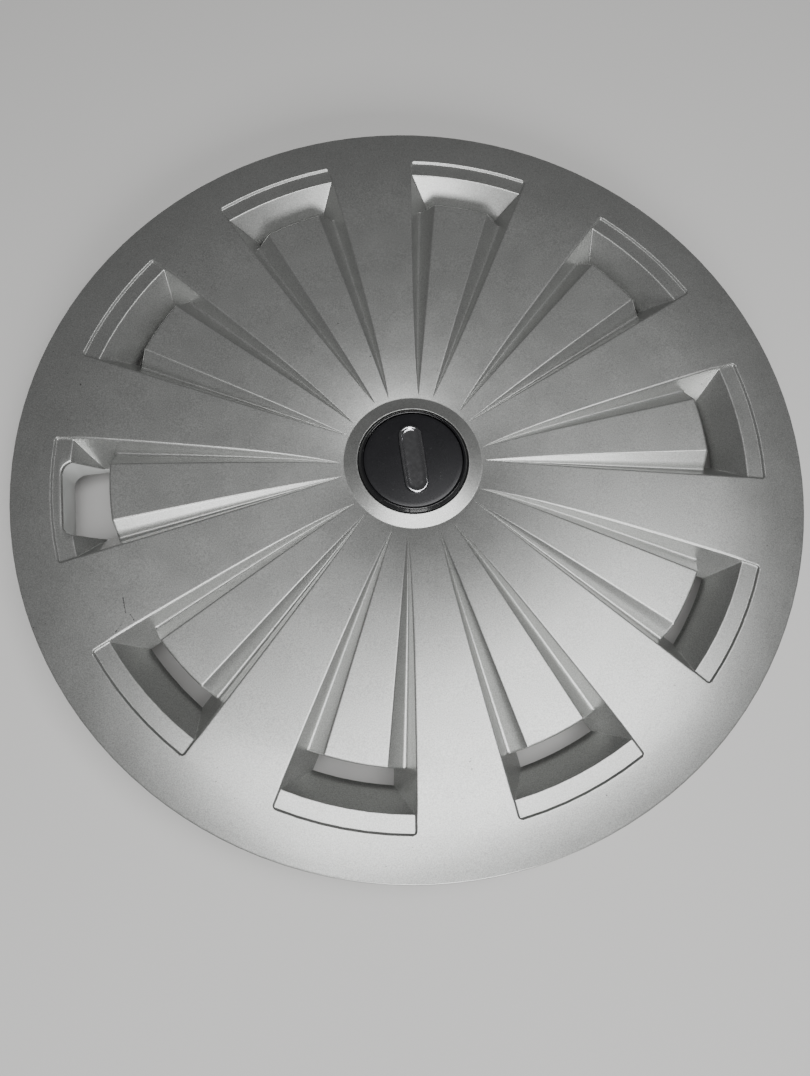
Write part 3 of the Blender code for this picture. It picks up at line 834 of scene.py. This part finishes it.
def valve_wall_sheet():
    """Wall that stands round the valve opening behind the face, as a sheet."""
    bm = bmesh.new()
    profile, _, _ = end_profile(0.0)
    grow = WALL / 2 + VALVE_WALL_CLEAR
    plan = []
    for i in range(VALVE_WALL_CELLS + 1):
        r = VALVE_WALL_IN + (VALVE_SILL_R - VALVE_WALL_IN) * i / VALVE_WALL_CELLS
        plan.append(notch_point(r, grow)[0])
    plan += [point for point, _ in notch_end(VALVE_SILL_R, grow, 6, 3)[1:]]
    plan += [Vector((p.x, -p.y)) for p in reversed(plan[:-1])]
    low, high = [], []
    for p in plan:
        z = height_on(profile, max(p.length, profile[0][0])) - VALVE_HIDDEN
        low.append((-p.x, -p.y, FACE_Z + VALVE_LOW))
        high.append((-p.x, -p.y, FACE_Z + z))
    patch(bm, [low, high], as_point)
    return bm


# ---------------- clips, wire and cap

def clip_body():
    """One clip in the +X direction: round head, finger, wire hooks, foot and barb."""
    bm = bmesh.new()
    gap_low = WIRE_Z - WIRE_R - HOOK_GAP
    gap_high = WIRE_Z + WIRE_R + HOOK_GAP
    corners = [(FINGER_IN, gap_high + HOOK_ROOT), (HOOK_TIP_R, gap_high + HOOK_TIP),
               (HOOK_TIP_R, gap_high), (FINGER_IN, gap_high), (FINGER_IN, gap_low),
               (HOOK_TIP_R, gap_low), (HOOK_TIP_R, gap_low - HOOK_TIP),
               (FINGER_IN, gap_low - HOOK_ROOT), (FINGER_IN, CLIP_FOOT_Z),
               (FINGER_OUT + CLIP_FOOT, CLIP_FOOT_Z)]
    corners += [(CLIP_TOUCH_R - back, z) for back, z in CLIP_BARB]
    corners += [(FINGER_OUT + CLIP_SHOULDER, CLIP_SHOULDER_Z), (FINGER_OUT, CLIP_SHOULDER_TOP)]
    bends = [3] * len(CLIP_ROUNDS)
    outline = [tuple(p) for p in rounded(corners, CLIP_ROUNDS, [1] * (len(corners) - 1), bends)]
    neck = arc_points((CLIP_PIVOT_R, CLIP_PIVOT_Z), CLIP_HEAD_R, -CLIP_NECK,
                      180 + CLIP_NECK, CLIP_HEAD_STEPS)
    slab(bm, neck + outline, CLIP_HALF)
    soften(bm, CLIP_EDGE, CLIP_SHARP)
    return bm


def clip_gussets():
    """Three thin webs inside a clip's finger."""
    bm = bmesh.new()
    outline = [(FINGER_IN + off, z) for off, z in WEB_OUTLINE]
    for y in (-WEB_SPACING, 0.0, WEB_SPACING):
        first = len(bm.verts)
        slab(bm, outline, WEB_HALF)
        bm.verts.ensure_lookup_table()
        bmesh.ops.translate(bm, verts=bm.verts[first:], vec=(0, y, 0))
    return bm


def wire_radius(angle):
    """Radius of the wire ring at an angle; it bends inwards round the valve opening."""
    off = abs((angle - VALVE_ANGLE + math.pi) % (2 * math.pi) - math.pi)
    s = min(max((WIRE_BEND_START - off) / (WIRE_BEND_START - WIRE_BEND_END), 0.0), 1.0)
    return WIRE_RING_R - (WIRE_RING_R - WIRE_BEND_R) * s * s * (3 - 2 * s)


def wire_point(angle):
    """Centre of the wire at an angle."""
    r = wire_radius(angle)
    return Vector((r * math.cos(angle), r * math.sin(angle), WIRE_Z))


def wire_piece(first, last):
    """Length of the wire ring between two angles as a closed tube."""
    bm = bmesh.new()
    rows = []
    for i in range(WIRE_CELLS + 1):
        angle = first + (last - first) * i / WIRE_CELLS
        point = wire_point(angle)
        along = (wire_point(angle + WIRE_STEP) - wire_point(angle - WIRE_STEP)).normalized()
        side = along.cross(Vector((0, 0, 1)))
        row = []
        for j in range(WIRE_SIDES + 1):
            turn = 2 * math.pi * j / WIRE_SIDES
            row.append(point + side * WIRE_R * math.cos(turn)
                       + Vector((0, 0, WIRE_R * math.sin(turn))))
        rows.append(row)
    patch(bm, rows, as_point)
    close_ends(bm, WIRE_SIDES)
    return bm


def cap_shell():
    """Bevelled cap body with its skirt and snap bead."""
    top = CAP_HIGH.z
    low = CAP_LOW.z
    flange = FACE_Z + SEAT_FLOOR + CAP_GAP
    pan = FACE_Z + SEAT_FLOOR + CAP_PAN
    under = pan - CAP_PAN_WALL
    skirt_in = SKIRT_R - SKIRT_WALL
    bead_top, bead_high, bead_low = (low + up for up in BEAD_UP)
    corners = [(CAP_LIP_R, pan), (CAP_LIP_R, top - CAP_LIP_DROP), (CAP_LIP_R + CAP_LIP, top),
               (CAP_OUT_R - CAP_BEVEL_IN, top - CAP_BEVEL_DROP),
               (CAP_OUT_R, top - CAP_EDGE_DROP), (CAP_OUT_R, flange), (SKIRT_R, flange),
               (SKIRT_R, bead_top), (SKIRT_BEAD_R, bead_high), (SKIRT_BEAD_R, bead_low),
               (SKIRT_R - SKIRT_TAPER, low), (skirt_in, low), (skirt_in, under), (0.0, under)]
    cells = [2] * (len(corners) - 1)
    outline = rounded(corners, CAP_ROUNDS, cells, [3] * len(CAP_ROUNDS))
    return turned([(0.0, pan)] + outline)


def cap_insert():
    """Domed disc in the cap with a fine rounded rim."""
    low = INSERT_LOW.z
    high = INSERT_HIGH.z
    out = INSERT_HIGH.x
    shares = [i / INSERT_CELLS for i in range(INSERT_CELLS)]
    dome = [(out * share, high - INSERT_RISE * share ** 2) for share in shares]
    corners = dome[-1:] + [(out, high - INSERT_RISE), (out, low), (out - INSERT_RIM, low)]
    edge = rounded(corners, INSERT_ROUNDS, (1, 1, 1), (3, 2))
    return turned(dome[:-1] + edge + [(0.0, low)])


def cap_spring():
    """Round wire ring inside the cap's skirt."""
    centre = (SKIRT_R - SKIRT_WALL - CAP_WIRE_R - CAP_GAP, FACE_Z + CAP_WIRE_Z)
    return turned(arc_points(centre, CAP_WIRE_R, 0, 360, WIRE_SIDES), CAP_WIRE_STEPS)


def badge_point(angle, inset, share):
    """Point of the badge's outline at an angle, drawn in by inset; share is its height."""
    half_x = EMBLEM_HIGH.x - inset
    straight = EMBLEM_HIGH.y - EMBLEM_HIGH.x
    x = half_x * math.cos(angle)
    y = half_x * math.sin(angle)
    y += straight * max(-1.0, min(1.0, BADGE_SIDE * math.sin(angle)))
    sunk = INSERT_RISE * (y / INSERT_HIGH.x) ** 2
    return (x, y, EMBLEM_BASE + (EMBLEM_HIGH.z - EMBLEM_BASE) * share - sunk)


def cap_badge():
    """Plain raised bar with round ends, a rounded edge and a dished middle."""
    bm = bmesh.new()
    rows = []
    for inset, share in BADGE_LEVELS:
        rows.append([badge_point(2 * math.pi * i / BADGE_CELLS, inset, share)
                     for i in range(BADGE_CELLS + 1)])
    patch(bm, rows, as_point)
    close_ends(bm, BADGE_CELLS)
    return bm


# ---------------- finishes

class Value:
    """A socket in a finish; arithmetic on it adds Math nodes."""

    def __init__(self, finish, socket):
        self.finish = finish
        self.socket = socket

    def calculate(self, operation, *values):
        """Result of a Math node on the given values."""
        return self.finish.node("ShaderNodeMath", {"operation": operation},
                                dict(enumerate(values)))

    def __abs__(self):
        return self.calculate("ABSOLUTE", self)

    def __add__(self, other):
        return self.calculate("ADD", self, other)

    def __radd__(self, other):
        return self.calculate("ADD", other, self)

    def __sub__(self, other):
        return self.calculate("SUBTRACT", self, other)

    def __rsub__(self, other):
        return self.calculate("SUBTRACT", other, self)

    def __mul__(self, other):
        return self.calculate("MULTIPLY", self, other)


class Finish:
    """A material: a Principled shader fed by patterns on object coordinates."""

    def __init__(self, name, uniform):
        self.material = bpy.data.materials.new(name)
        self.material.use_nodes = True
        self.tree = self.material.node_tree
        self.shader = self.tree.nodes["Principled BSDF"]
        for socket, value in uniform.items():
            self.shader.inputs[socket].default_value = value
        self.place = self.node("ShaderNodeTexCoord", output="Object")

    def node(self, kind, settings=None, sockets=None, output=0):
        """Add a node with its settings, then the values or links of its sockets."""
        made = self.tree.nodes.new(kind)
        for key, value in (settings or {}).items():
            setattr(made, key, value)
        for key, value in (sockets or {}).items():
            if isinstance(value, Value):
                self.tree.links.new(value.socket, made.inputs[key])
            else:
                made.inputs[key].default_value = value
        return Value(self, made.outputs[output])

    def noise(self, scale, detail=2.0, roughness=0.5):
        """Cloudy noise with the given features per metre, about 0.5."""
        return self.node("ShaderNodeTexNoise", None,
                         {"Vector": self.place, "Scale": scale, "Detail": detail,
                          "Roughness": roughness})

    def between(self, value, low, high):
        """0 below low, 1 above high and even between them."""
        return self.node("ShaderNodeMapRange", None,
                         {"Value": value, "From Min": low, "From Max": high})

    def mixed(self, factor, first, second):
        """Colour between two colours."""
        return self.node("ShaderNodeMix", {"data_type": "RGBA"},
                         {0: factor, 6: first, 7: second}, output=2)

    def bump(self, height, distance, strength):
        """Normal of a surface that a pattern lifts by up to a distance."""
        return self.node("ShaderNodeBump", None,
                         {"Height": height, "Distance": distance, "Strength": strength})

    def feed(self, **inputs):
        """Link values to the shader; names use _ for a space."""
        for key, value in inputs.items():
            self.tree.links.new(value.socket, self.shader.inputs[key.replace("_", " ")])
        return self.material


def shade(color, factor):
    """A colour with its brightness scaled, as four numbers."""
    return (*(c * factor for c in color), 1.0)


def silver_paint(settings):
    """Metallic silver paint with fine flakes, faint clouding, dust specks and a few scuffs."""
    finish = Finish("silver_paint", {"Metallic": 0.82, "Coat Weight": 0.45,
                                     "Coat Roughness": 0.12, "Coat IOR": 1.45})
    flakes = finish.noise(1700.0, 2.0, 0.7)
    clouds = finish.noise(14.0, 3.0)
    smears = finish.noise(55.0, 4.0, 0.6)
    tone = flakes + clouds * 0.05 + smears * 0.04
    painted = finish.mixed(finish.between(tone, 0.39, 0.70),
                           shade(settings.silver, 1 - settings.flake_contrast),
                           shade(settings.silver, 1 + settings.flake_contrast))
    specks = finish.between(finish.noise(640.0, 1.0), 0.765, 0.80)
    patches = finish.between(finish.noise(21.0, 2.0), 0.50, 0.62)
    marked = finish.mixed(specks * patches * 0.7, painted, DIRT)
    scuffs = scuff_mask(finish)
    final = finish.mixed(scuffs, marked, SCUFF_COLOR)
    worn = settings.silver_roughness + (smears - 0.5) * 0.10 + (flakes - 0.5) * 0.06
    peel = finish.noise(820.0, 2.0) * 0.6 + flakes * 0.4
    return finish.feed(Base_Color=final, Roughness=worn + scuffs * 0.3,
                       Normal=finish.bump(peel, 0.00002, 0.14))


def scuff_mask(finish):
    """Three short dark scuffs on one land near the rim."""
    x = finish.node("ShaderNodeSeparateXYZ", None, {0: finish.place})
    y = Value(finish, x.socket.node.outputs["Y"])
    rough = finish.noise(900.0, 3.0)
    total = None
    for centre_x, centre_y, length, lean in SCUFFS:
        off_side = abs((x - centre_x) + (y - centre_y) * lean)
        off_end = abs(y - centre_y)
        thin = 1 - finish.between(off_side, SCUFF_HALF, SCUFF_FADE)
        short = 1 - finish.between(off_end, length * 0.4, length * 0.6)
        mark = thin * short
        total = mark if total is None else total + mark
    return finish.between(total * rough, 0.30, 0.55) * 0.85


def black_nylon(settings):
    """Moulded nylon with a fine dull grain and paler rubbed spots."""
    finish = Finish("black_nylon", {"Specular IOR Level": 0.45})
    grain = finish.noise(1500.0, 3.0, 0.6)
    rubs = finish.between(finish.noise(160.0, 3.0), 0.5, 0.75)
    color = finish.mixed(rubs * 0.6 + grain * 0.2, shade(settings.nylon, 0.8),
                         shade(settings.nylon, 2.0))
    return finish.feed(Base_Color=color, Roughness=0.62 - rubs * 0.2 + grain * 0.06,
                       Normal=finish.bump(grain, 0.00004, 0.5))


def spring_steel(settings):
    """Drawn wire with fine marks and a light brown bloom in places."""
    finish = Finish("spring_steel", {"Metallic": 1.0})
    drawn = finish.noise(2200.0, 2.0)
    bloom = finish.between(finish.noise(110.0, 4.0, 0.65), 0.56, 0.74)
    steel = finish.mixed(drawn, shade(settings.steel, 0.8), shade(settings.steel, 1.2))
    color = finish.mixed(bloom * 0.5, steel, RUST)
    return finish.feed(Base_Color=color, Roughness=0.24 + drawn * 0.1 + bloom * 0.25,
                       Normal=finish.bump(drawn, 0.00001, 0.4))


def gloss_black(settings):
    """Polished black bezel with faint hairlines and dust."""
    finish = Finish("gloss_black", {"Coat Weight": 1.0, "Coat Roughness": 0.03})
    haze = finish.noise(180.0, 4.0, 0.6)
    dust = finish.between(finish.noise(1300.0, 1.0), 0.74, 0.78)
    color = finish.mixed(dust * 0.5, (*settings.gloss, 1.0), GLOSS_DUST)
    return finish.feed(Base_Color=color, Roughness=0.07 + haze * 0.08 + dust * 0.3,
                       Normal=finish.bump(haze, 0.00001, 0.08))


def satin_black(settings):
    """Slightly metallic satin black with a fine sparkle."""
    finish = Finish("satin_black", {"Metallic": 0.35, "Coat Weight": 0.25,
                                    "Coat Roughness": 0.22})
    sparkle = finish.noise(3000.0, 1.0)
    haze = finish.noise(120.0, 3.0)
    dust = finish.between(finish.noise(1100.0, 1.0), 0.75, 0.79)
    tinted = finish.mixed(finish.between(sparkle, 0.35, 0.70), shade(settings.satin, 0.7),
                          shade(settings.satin, 1.7))
    color = finish.mixed(dust * 0.35, tinted, SATIN_DUST)
    return finish.feed(Base_Color=color, Roughness=0.27 + haze * 0.08 + sparkle * 0.05,
                       Normal=finish.bump(sparkle, 0.00001, 0.3))


def dark_chrome(settings):
    """Dark bright plating with light handling marks."""
    finish = Finish("dark_chrome", {"Metallic": 1.0})
    marks = finish.noise(420.0, 4.0, 0.6)
    color = finish.mixed(marks, shade(settings.chrome, 0.85), shade(settings.chrome, 1.15))
    return finish.feed(Base_Color=color, Roughness=0.10 + marks * 0.10,
                       Normal=finish.bump(marks, 0.00001, 0.2))


def floor_paint(settings):
    """Plain pale floor with a faint unevenness."""
    finish = Finish("studio_floor", {"Specular IOR Level": 0.2})
    cloud = finish.noise(3.0, 3.0)
    color = finish.mixed(cloud, shade(settings.floor, 0.97), shade(settings.floor, 1.03))
    return finish.feed(Base_Color=color, Roughness=0.82 + cloud * 0.08)


def finish_piece(name, bm, paint, body, replaced, sharp=PIECE_SHARP):
    """Turn a bmesh into a finished piece that rides on a body and stands for CAD nodes."""
    bmesh.ops.recalc_face_normals(bm, faces=bm.faces)
    mesh = as_mesh(name, bm)
    mesh.shade_smooth()
    mesh.set_sharp_from_angle(angle=math.radians(sharp))
    mesh.materials.append(paint)
    obj = add_object(name, mesh)
    if body:
        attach(obj, body)
    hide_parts(*replaced)
    return obj


# ---------------- light and camera

def add_light(name, location, size, power):
    """Rectangular lamp that points at the origin."""
    light = bpy.data.lights.new(name, "AREA")
    light.shape = "RECTANGLE"
    light.size, light.size_y = size
    light.energy = power
    lamp = add_object(name, light)
    lamp.location = location
    lamp.rotation_euler = Vector(location).to_track_quat("Z", "Y").to_euler()


def room_light(strength):
    """World with an even white light from all round."""
    world = bpy.data.worlds.new("studio")
    world.use_nodes = True
    background = world.node_tree.nodes["Background"].inputs
    background["Color"].default_value = (1, 1, 1, 1)
    background["Strength"].default_value = strength
    return world


def add_camera(lens):
    """Camera at its place, turned to look forward with its top along up."""
    data = bpy.data.cameras.new("camera")
    data.lens = lens
    data.sensor_width = SENSOR_WIDTH
    data.clip_start = CLIP_START
    camera = add_object("camera", data)
    forward = Vector(CAMERA_FORWARD)
    right = forward.cross(Vector(CAMERA_UP)).normalized()
    axes = Matrix((right, right.cross(forward), -forward.normalized())).transposed()
    camera.matrix_world = Matrix.Translation(CAMERA_PLACE) @ axes.to_4x4()
    return camera


# ---------------- settings and operators

def color_setting(name, description, default):
    """Colour that can be set in the panel."""
    return FloatVectorProperty(name=name, description=description, default=default,
                               subtype="COLOR", min=0, max=1)


class WheelCoverFinishes(bpy.types.PropertyGroup):
    """Colours and gloss of the cover's finishes."""
    silver: color_setting("Silver", "Colour of the silver paint", (0.41, 0.415, 0.405))
    silver_roughness: FloatProperty(name="Silver roughness", default=0.35, min=0, max=1,
                                    description="How widely the silver paint spreads light",
                                    subtype="FACTOR")
    flake_contrast: FloatProperty(name="Flakes", default=0.22, min=0, max=1, subtype="FACTOR",
                                  description="How much the paint's flakes differ in tone")
    nylon: color_setting("Nylon", "Colour of the clips", (0.022, 0.022, 0.024))
    steel: color_setting("Steel", "Colour of the wire rings", (0.45, 0.45, 0.46))
    gloss: color_setting("Bezel", "Colour of the cap's bezel", (0.006, 0.006, 0.007))
    satin: color_setting("Cap disc", "Colour of the cap's domed disc", (0.013, 0.013, 0.015))
    chrome: color_setting("Badge", "Colour of the cap's badge", (0.55, 0.55, 0.57))


class WheelCoverSizes(bpy.types.PropertyGroup):
    """Small sizes of the pieces that finish their edges."""
    wall_edge: FloatProperty(name="Wall edge", default=0.0003, unit="LENGTH", min=0,
                             description="Rounding of the tower, rib and valve wall edges")
    seat_edge: FloatProperty(name="Seat edge", default=0.0002, unit="LENGTH", min=0,
                             description="Rounding of the clip seats' edges")


class WheelCoverStage(bpy.types.PropertyGroup):
    """Floor, light and camera."""
    floor: color_setting("Floor", "Colour of the floor", (0.64, 0.635, 0.625))
    overhead: FloatProperty(name="Overhead light", default=17.5, unit="POWER", min=0,
                            description="Power of the large light above the cover")
    front: FloatProperty(name="Front light", default=17.0, unit="POWER", min=0,
                         description="Power of the lower light on the near side")
    room: FloatProperty(name="Room light", default=0.08, min=0,
                        description="Strength of the even light from all round")
    lens: FloatProperty(name="Lens", default=27.3, min=1, unit="CAMERA",
                        description="Focal length of the camera in millimetres")


class WHEELCOVER_OT_face(bpy.types.Operator):
    """Model the moulded face with its pockets, rim and socket"""
    bl_idname = "wheelcover.face"
    bl_label = "Moulded face"

    def execute(self, context):
        paint = silver_paint(context.scene.wheel_cover_finishes)
        finish_piece("cover_face", cover_shell(), paint, "root",
                     ["cover_disc"], sharp=FACE_SHARP)
        return {"FINISHED"}


class WHEELCOVER_OT_back(bpy.types.Operator):
    """Model the towers, clip seats, ribs and valve wall behind the face"""
    bl_idname = "wheelcover.back"
    bl_label = "Towers and ribs"

    def execute(self, context):
        sizes = context.scene.wheel_cover_sizes
        paint = bpy.data.materials["silver_paint"]
        pieces = (("cover_towers", thicken(tower_walls(), TOWER_WALL), sizes.wall_edge),
                  ("cover_ribs", thicken(rib_sheets(), RIB_THICK), sizes.wall_edge),
                  ("valve_wall", thicken(valve_wall_sheet(), WALL), sizes.wall_edge),
                  ("clip_seats", clip_seats(), sizes.seat_edge))
        for name, solid, edge in pieces:
            soften(solid, edge, PIECE_SHARP)
            finish_piece(name, solid, paint, "root", ["cover_disc"])
        return {"FINISHED"}


class WHEELCOVER_OT_clips(bpy.types.Operator):
    """Model the ten nylon clips with their webs"""
    bl_idname = "wheelcover.clips"
    bl_label = "Clips"

    def execute(self, context):
        paint = black_nylon(context.scene.wheel_cover_finishes)
        for k, angle in enumerate(LAND_ANGLES, start=1):
            body = f"clip_{k:02d}"
            for name, bm in ((f"{body}_finger", clip_body()), (f"{body}_webs", clip_gussets())):
                rotate(bm, bm.verts, angle)
                finish_piece(name, bm, paint, body, [body])
        return {"FINISHED"}


class WHEELCOVER_OT_wire(bpy.types.Operator):
    """Model the wire ring in lengths that each run from a clip to halfway to the next"""
    bl_idname = "wheelcover.wire"
    bl_label = "Wire ring"

    def execute(self, context):
        paint = spring_steel(context.scene.wheel_cover_finishes)
        for k, angle in enumerate(LAND_ANGLES, start=1):
            for side, label in ((-1, "a"), (1, "b")):
                middle = angle + side * HALF_PITCH
                still = middle
                if abs(middle - VALVE_ANGLE) < HALF_PITCH:
                    still = middle - side * WIRE_STILL
                piece = finish_piece(f"wire_{k:02d}{label}", wire_piece(middle, angle), paint,
                                     None, ["spring_wire"])
                wire_point(still)
                wire_point(angle)
                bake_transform(piece)
        return {"FINISHED"}


class WHEELCOVER_OT_cap(bpy.types.Operator):
    """Model the centre cap, its domed disc, wire ring and badge"""
    bl_idname = "wheelcover.cap"
    bl_label = "Centre cap"

    def execute(self, context):
        finishes = context.scene.wheel_cover_finishes
        steel = bpy.data.materials["spring_steel"]
        pieces = (("cap_shell", cap_shell(), gloss_black(finishes), "gloss_black", "centre_cap"),
                  ("cap_disc", cap_insert(), satin_black(finishes), "satin_black",
                   "cap_insert"),
                  ("cap_wire", cap_spring(), steel, "spring_steel", "cap_spring_ring"),
                  ("cap_badge", cap_badge(), dark_chrome(finishes), "dark_chrome",
                   "cap_emblem"))
        for name, bm, paint, slot_name, node in pieces:
            finish_piece(name, bm, paint, "cap", [node])
        return {"FINISHED"}


class WHEELCOVER_OT_stage(bpy.types.Operator):
    """Add the floor, the soft light and the camera"""
    bl_idname = "wheelcover.stage"
    bl_label = "Floor, light and camera"

    def execute(self, context):
        stage = context.scene.wheel_cover_stage
        bm = bmesh.new()
        bmesh.ops.create_grid(bm, x_segments=8, y_segments=8, size=FLOOR_HALF)
        bmesh.ops.translate(bm, verts=bm.verts, vec=(0, 0, FLOOR_Z))
        floor = add_object("floor", as_mesh("floor", bm))
        floor.data.materials.append(floor_paint(stage))
        add_light("overhead", OVERHEAD_PLACE, OVERHEAD_SIZE, stage.overhead)
        add_light("front", FRONT_PLACE, FRONT_SIZE, stage.front)
        context.scene.world = room_light(stage.room)
        context.scene.camera = add_camera(stage.lens)
        return {"FINISHED"}


class WHEELCOVER_PT_panel(bpy.types.Panel):
    """Lists the steps that make the wheel cover"""
    bl_idname = "WHEELCOVER_PT_panel"
    bl_label = "Wheel cover"
    bl_space_type = "VIEW_3D"
    bl_region_type = "UI"
    bl_category = "Wheel cover"

    def draw(self, context):
        for step in STEPS:
            self.layout.operator(step.bl_idname)
        for group in (context.scene.wheel_cover_finishes, context.scene.wheel_cover_sizes,
                      context.scene.wheel_cover_stage):
            box = self.layout.box()
            for name in group.__annotations__:
                box.prop(group, name)


GROUPS = (WheelCoverFinishes, WheelCoverSizes, WheelCoverStage)
STEPS = (WHEELCOVER_OT_stage, WHEELCOVER_OT_face, WHEELCOVER_OT_back, WHEELCOVER_OT_clips,
         WHEELCOVER_OT_wire, WHEELCOVER_OT_cap)


def register():
    for item in (*GROUPS, *STEPS, WHEELCOVER_PT_panel):
        bpy.utils.register_class(item)
    bpy.types.Scene.wheel_cover_finishes = PointerProperty(type=WheelCoverFinishes)
    bpy.types.Scene.wheel_cover_sizes = PointerProperty(type=WheelCoverSizes)
    bpy.types.Scene.wheel_cover_stage = PointerProperty(type=WheelCoverStage)


def unregister():
    del bpy.types.Scene.wheel_cover_stage
    del bpy.types.Scene.wheel_cover_sizes
    del bpy.types.Scene.wheel_cover_finishes
    for item in reversed((*GROUPS, *STEPS, WHEELCOVER_PT_panel)):
        bpy.utils.unregister_class(item)


def main():
    register()
    bpy.ops.wheelcover.stage()
    bpy.ops.wheelcover.face()
    bpy.ops.wheelcover.back()
    bpy.ops.wheelcover.clips()
    bpy.ops.wheelcover.wire()
    bpy.ops.wheelcover.cap()


if __name__ == "__main__":
    main()
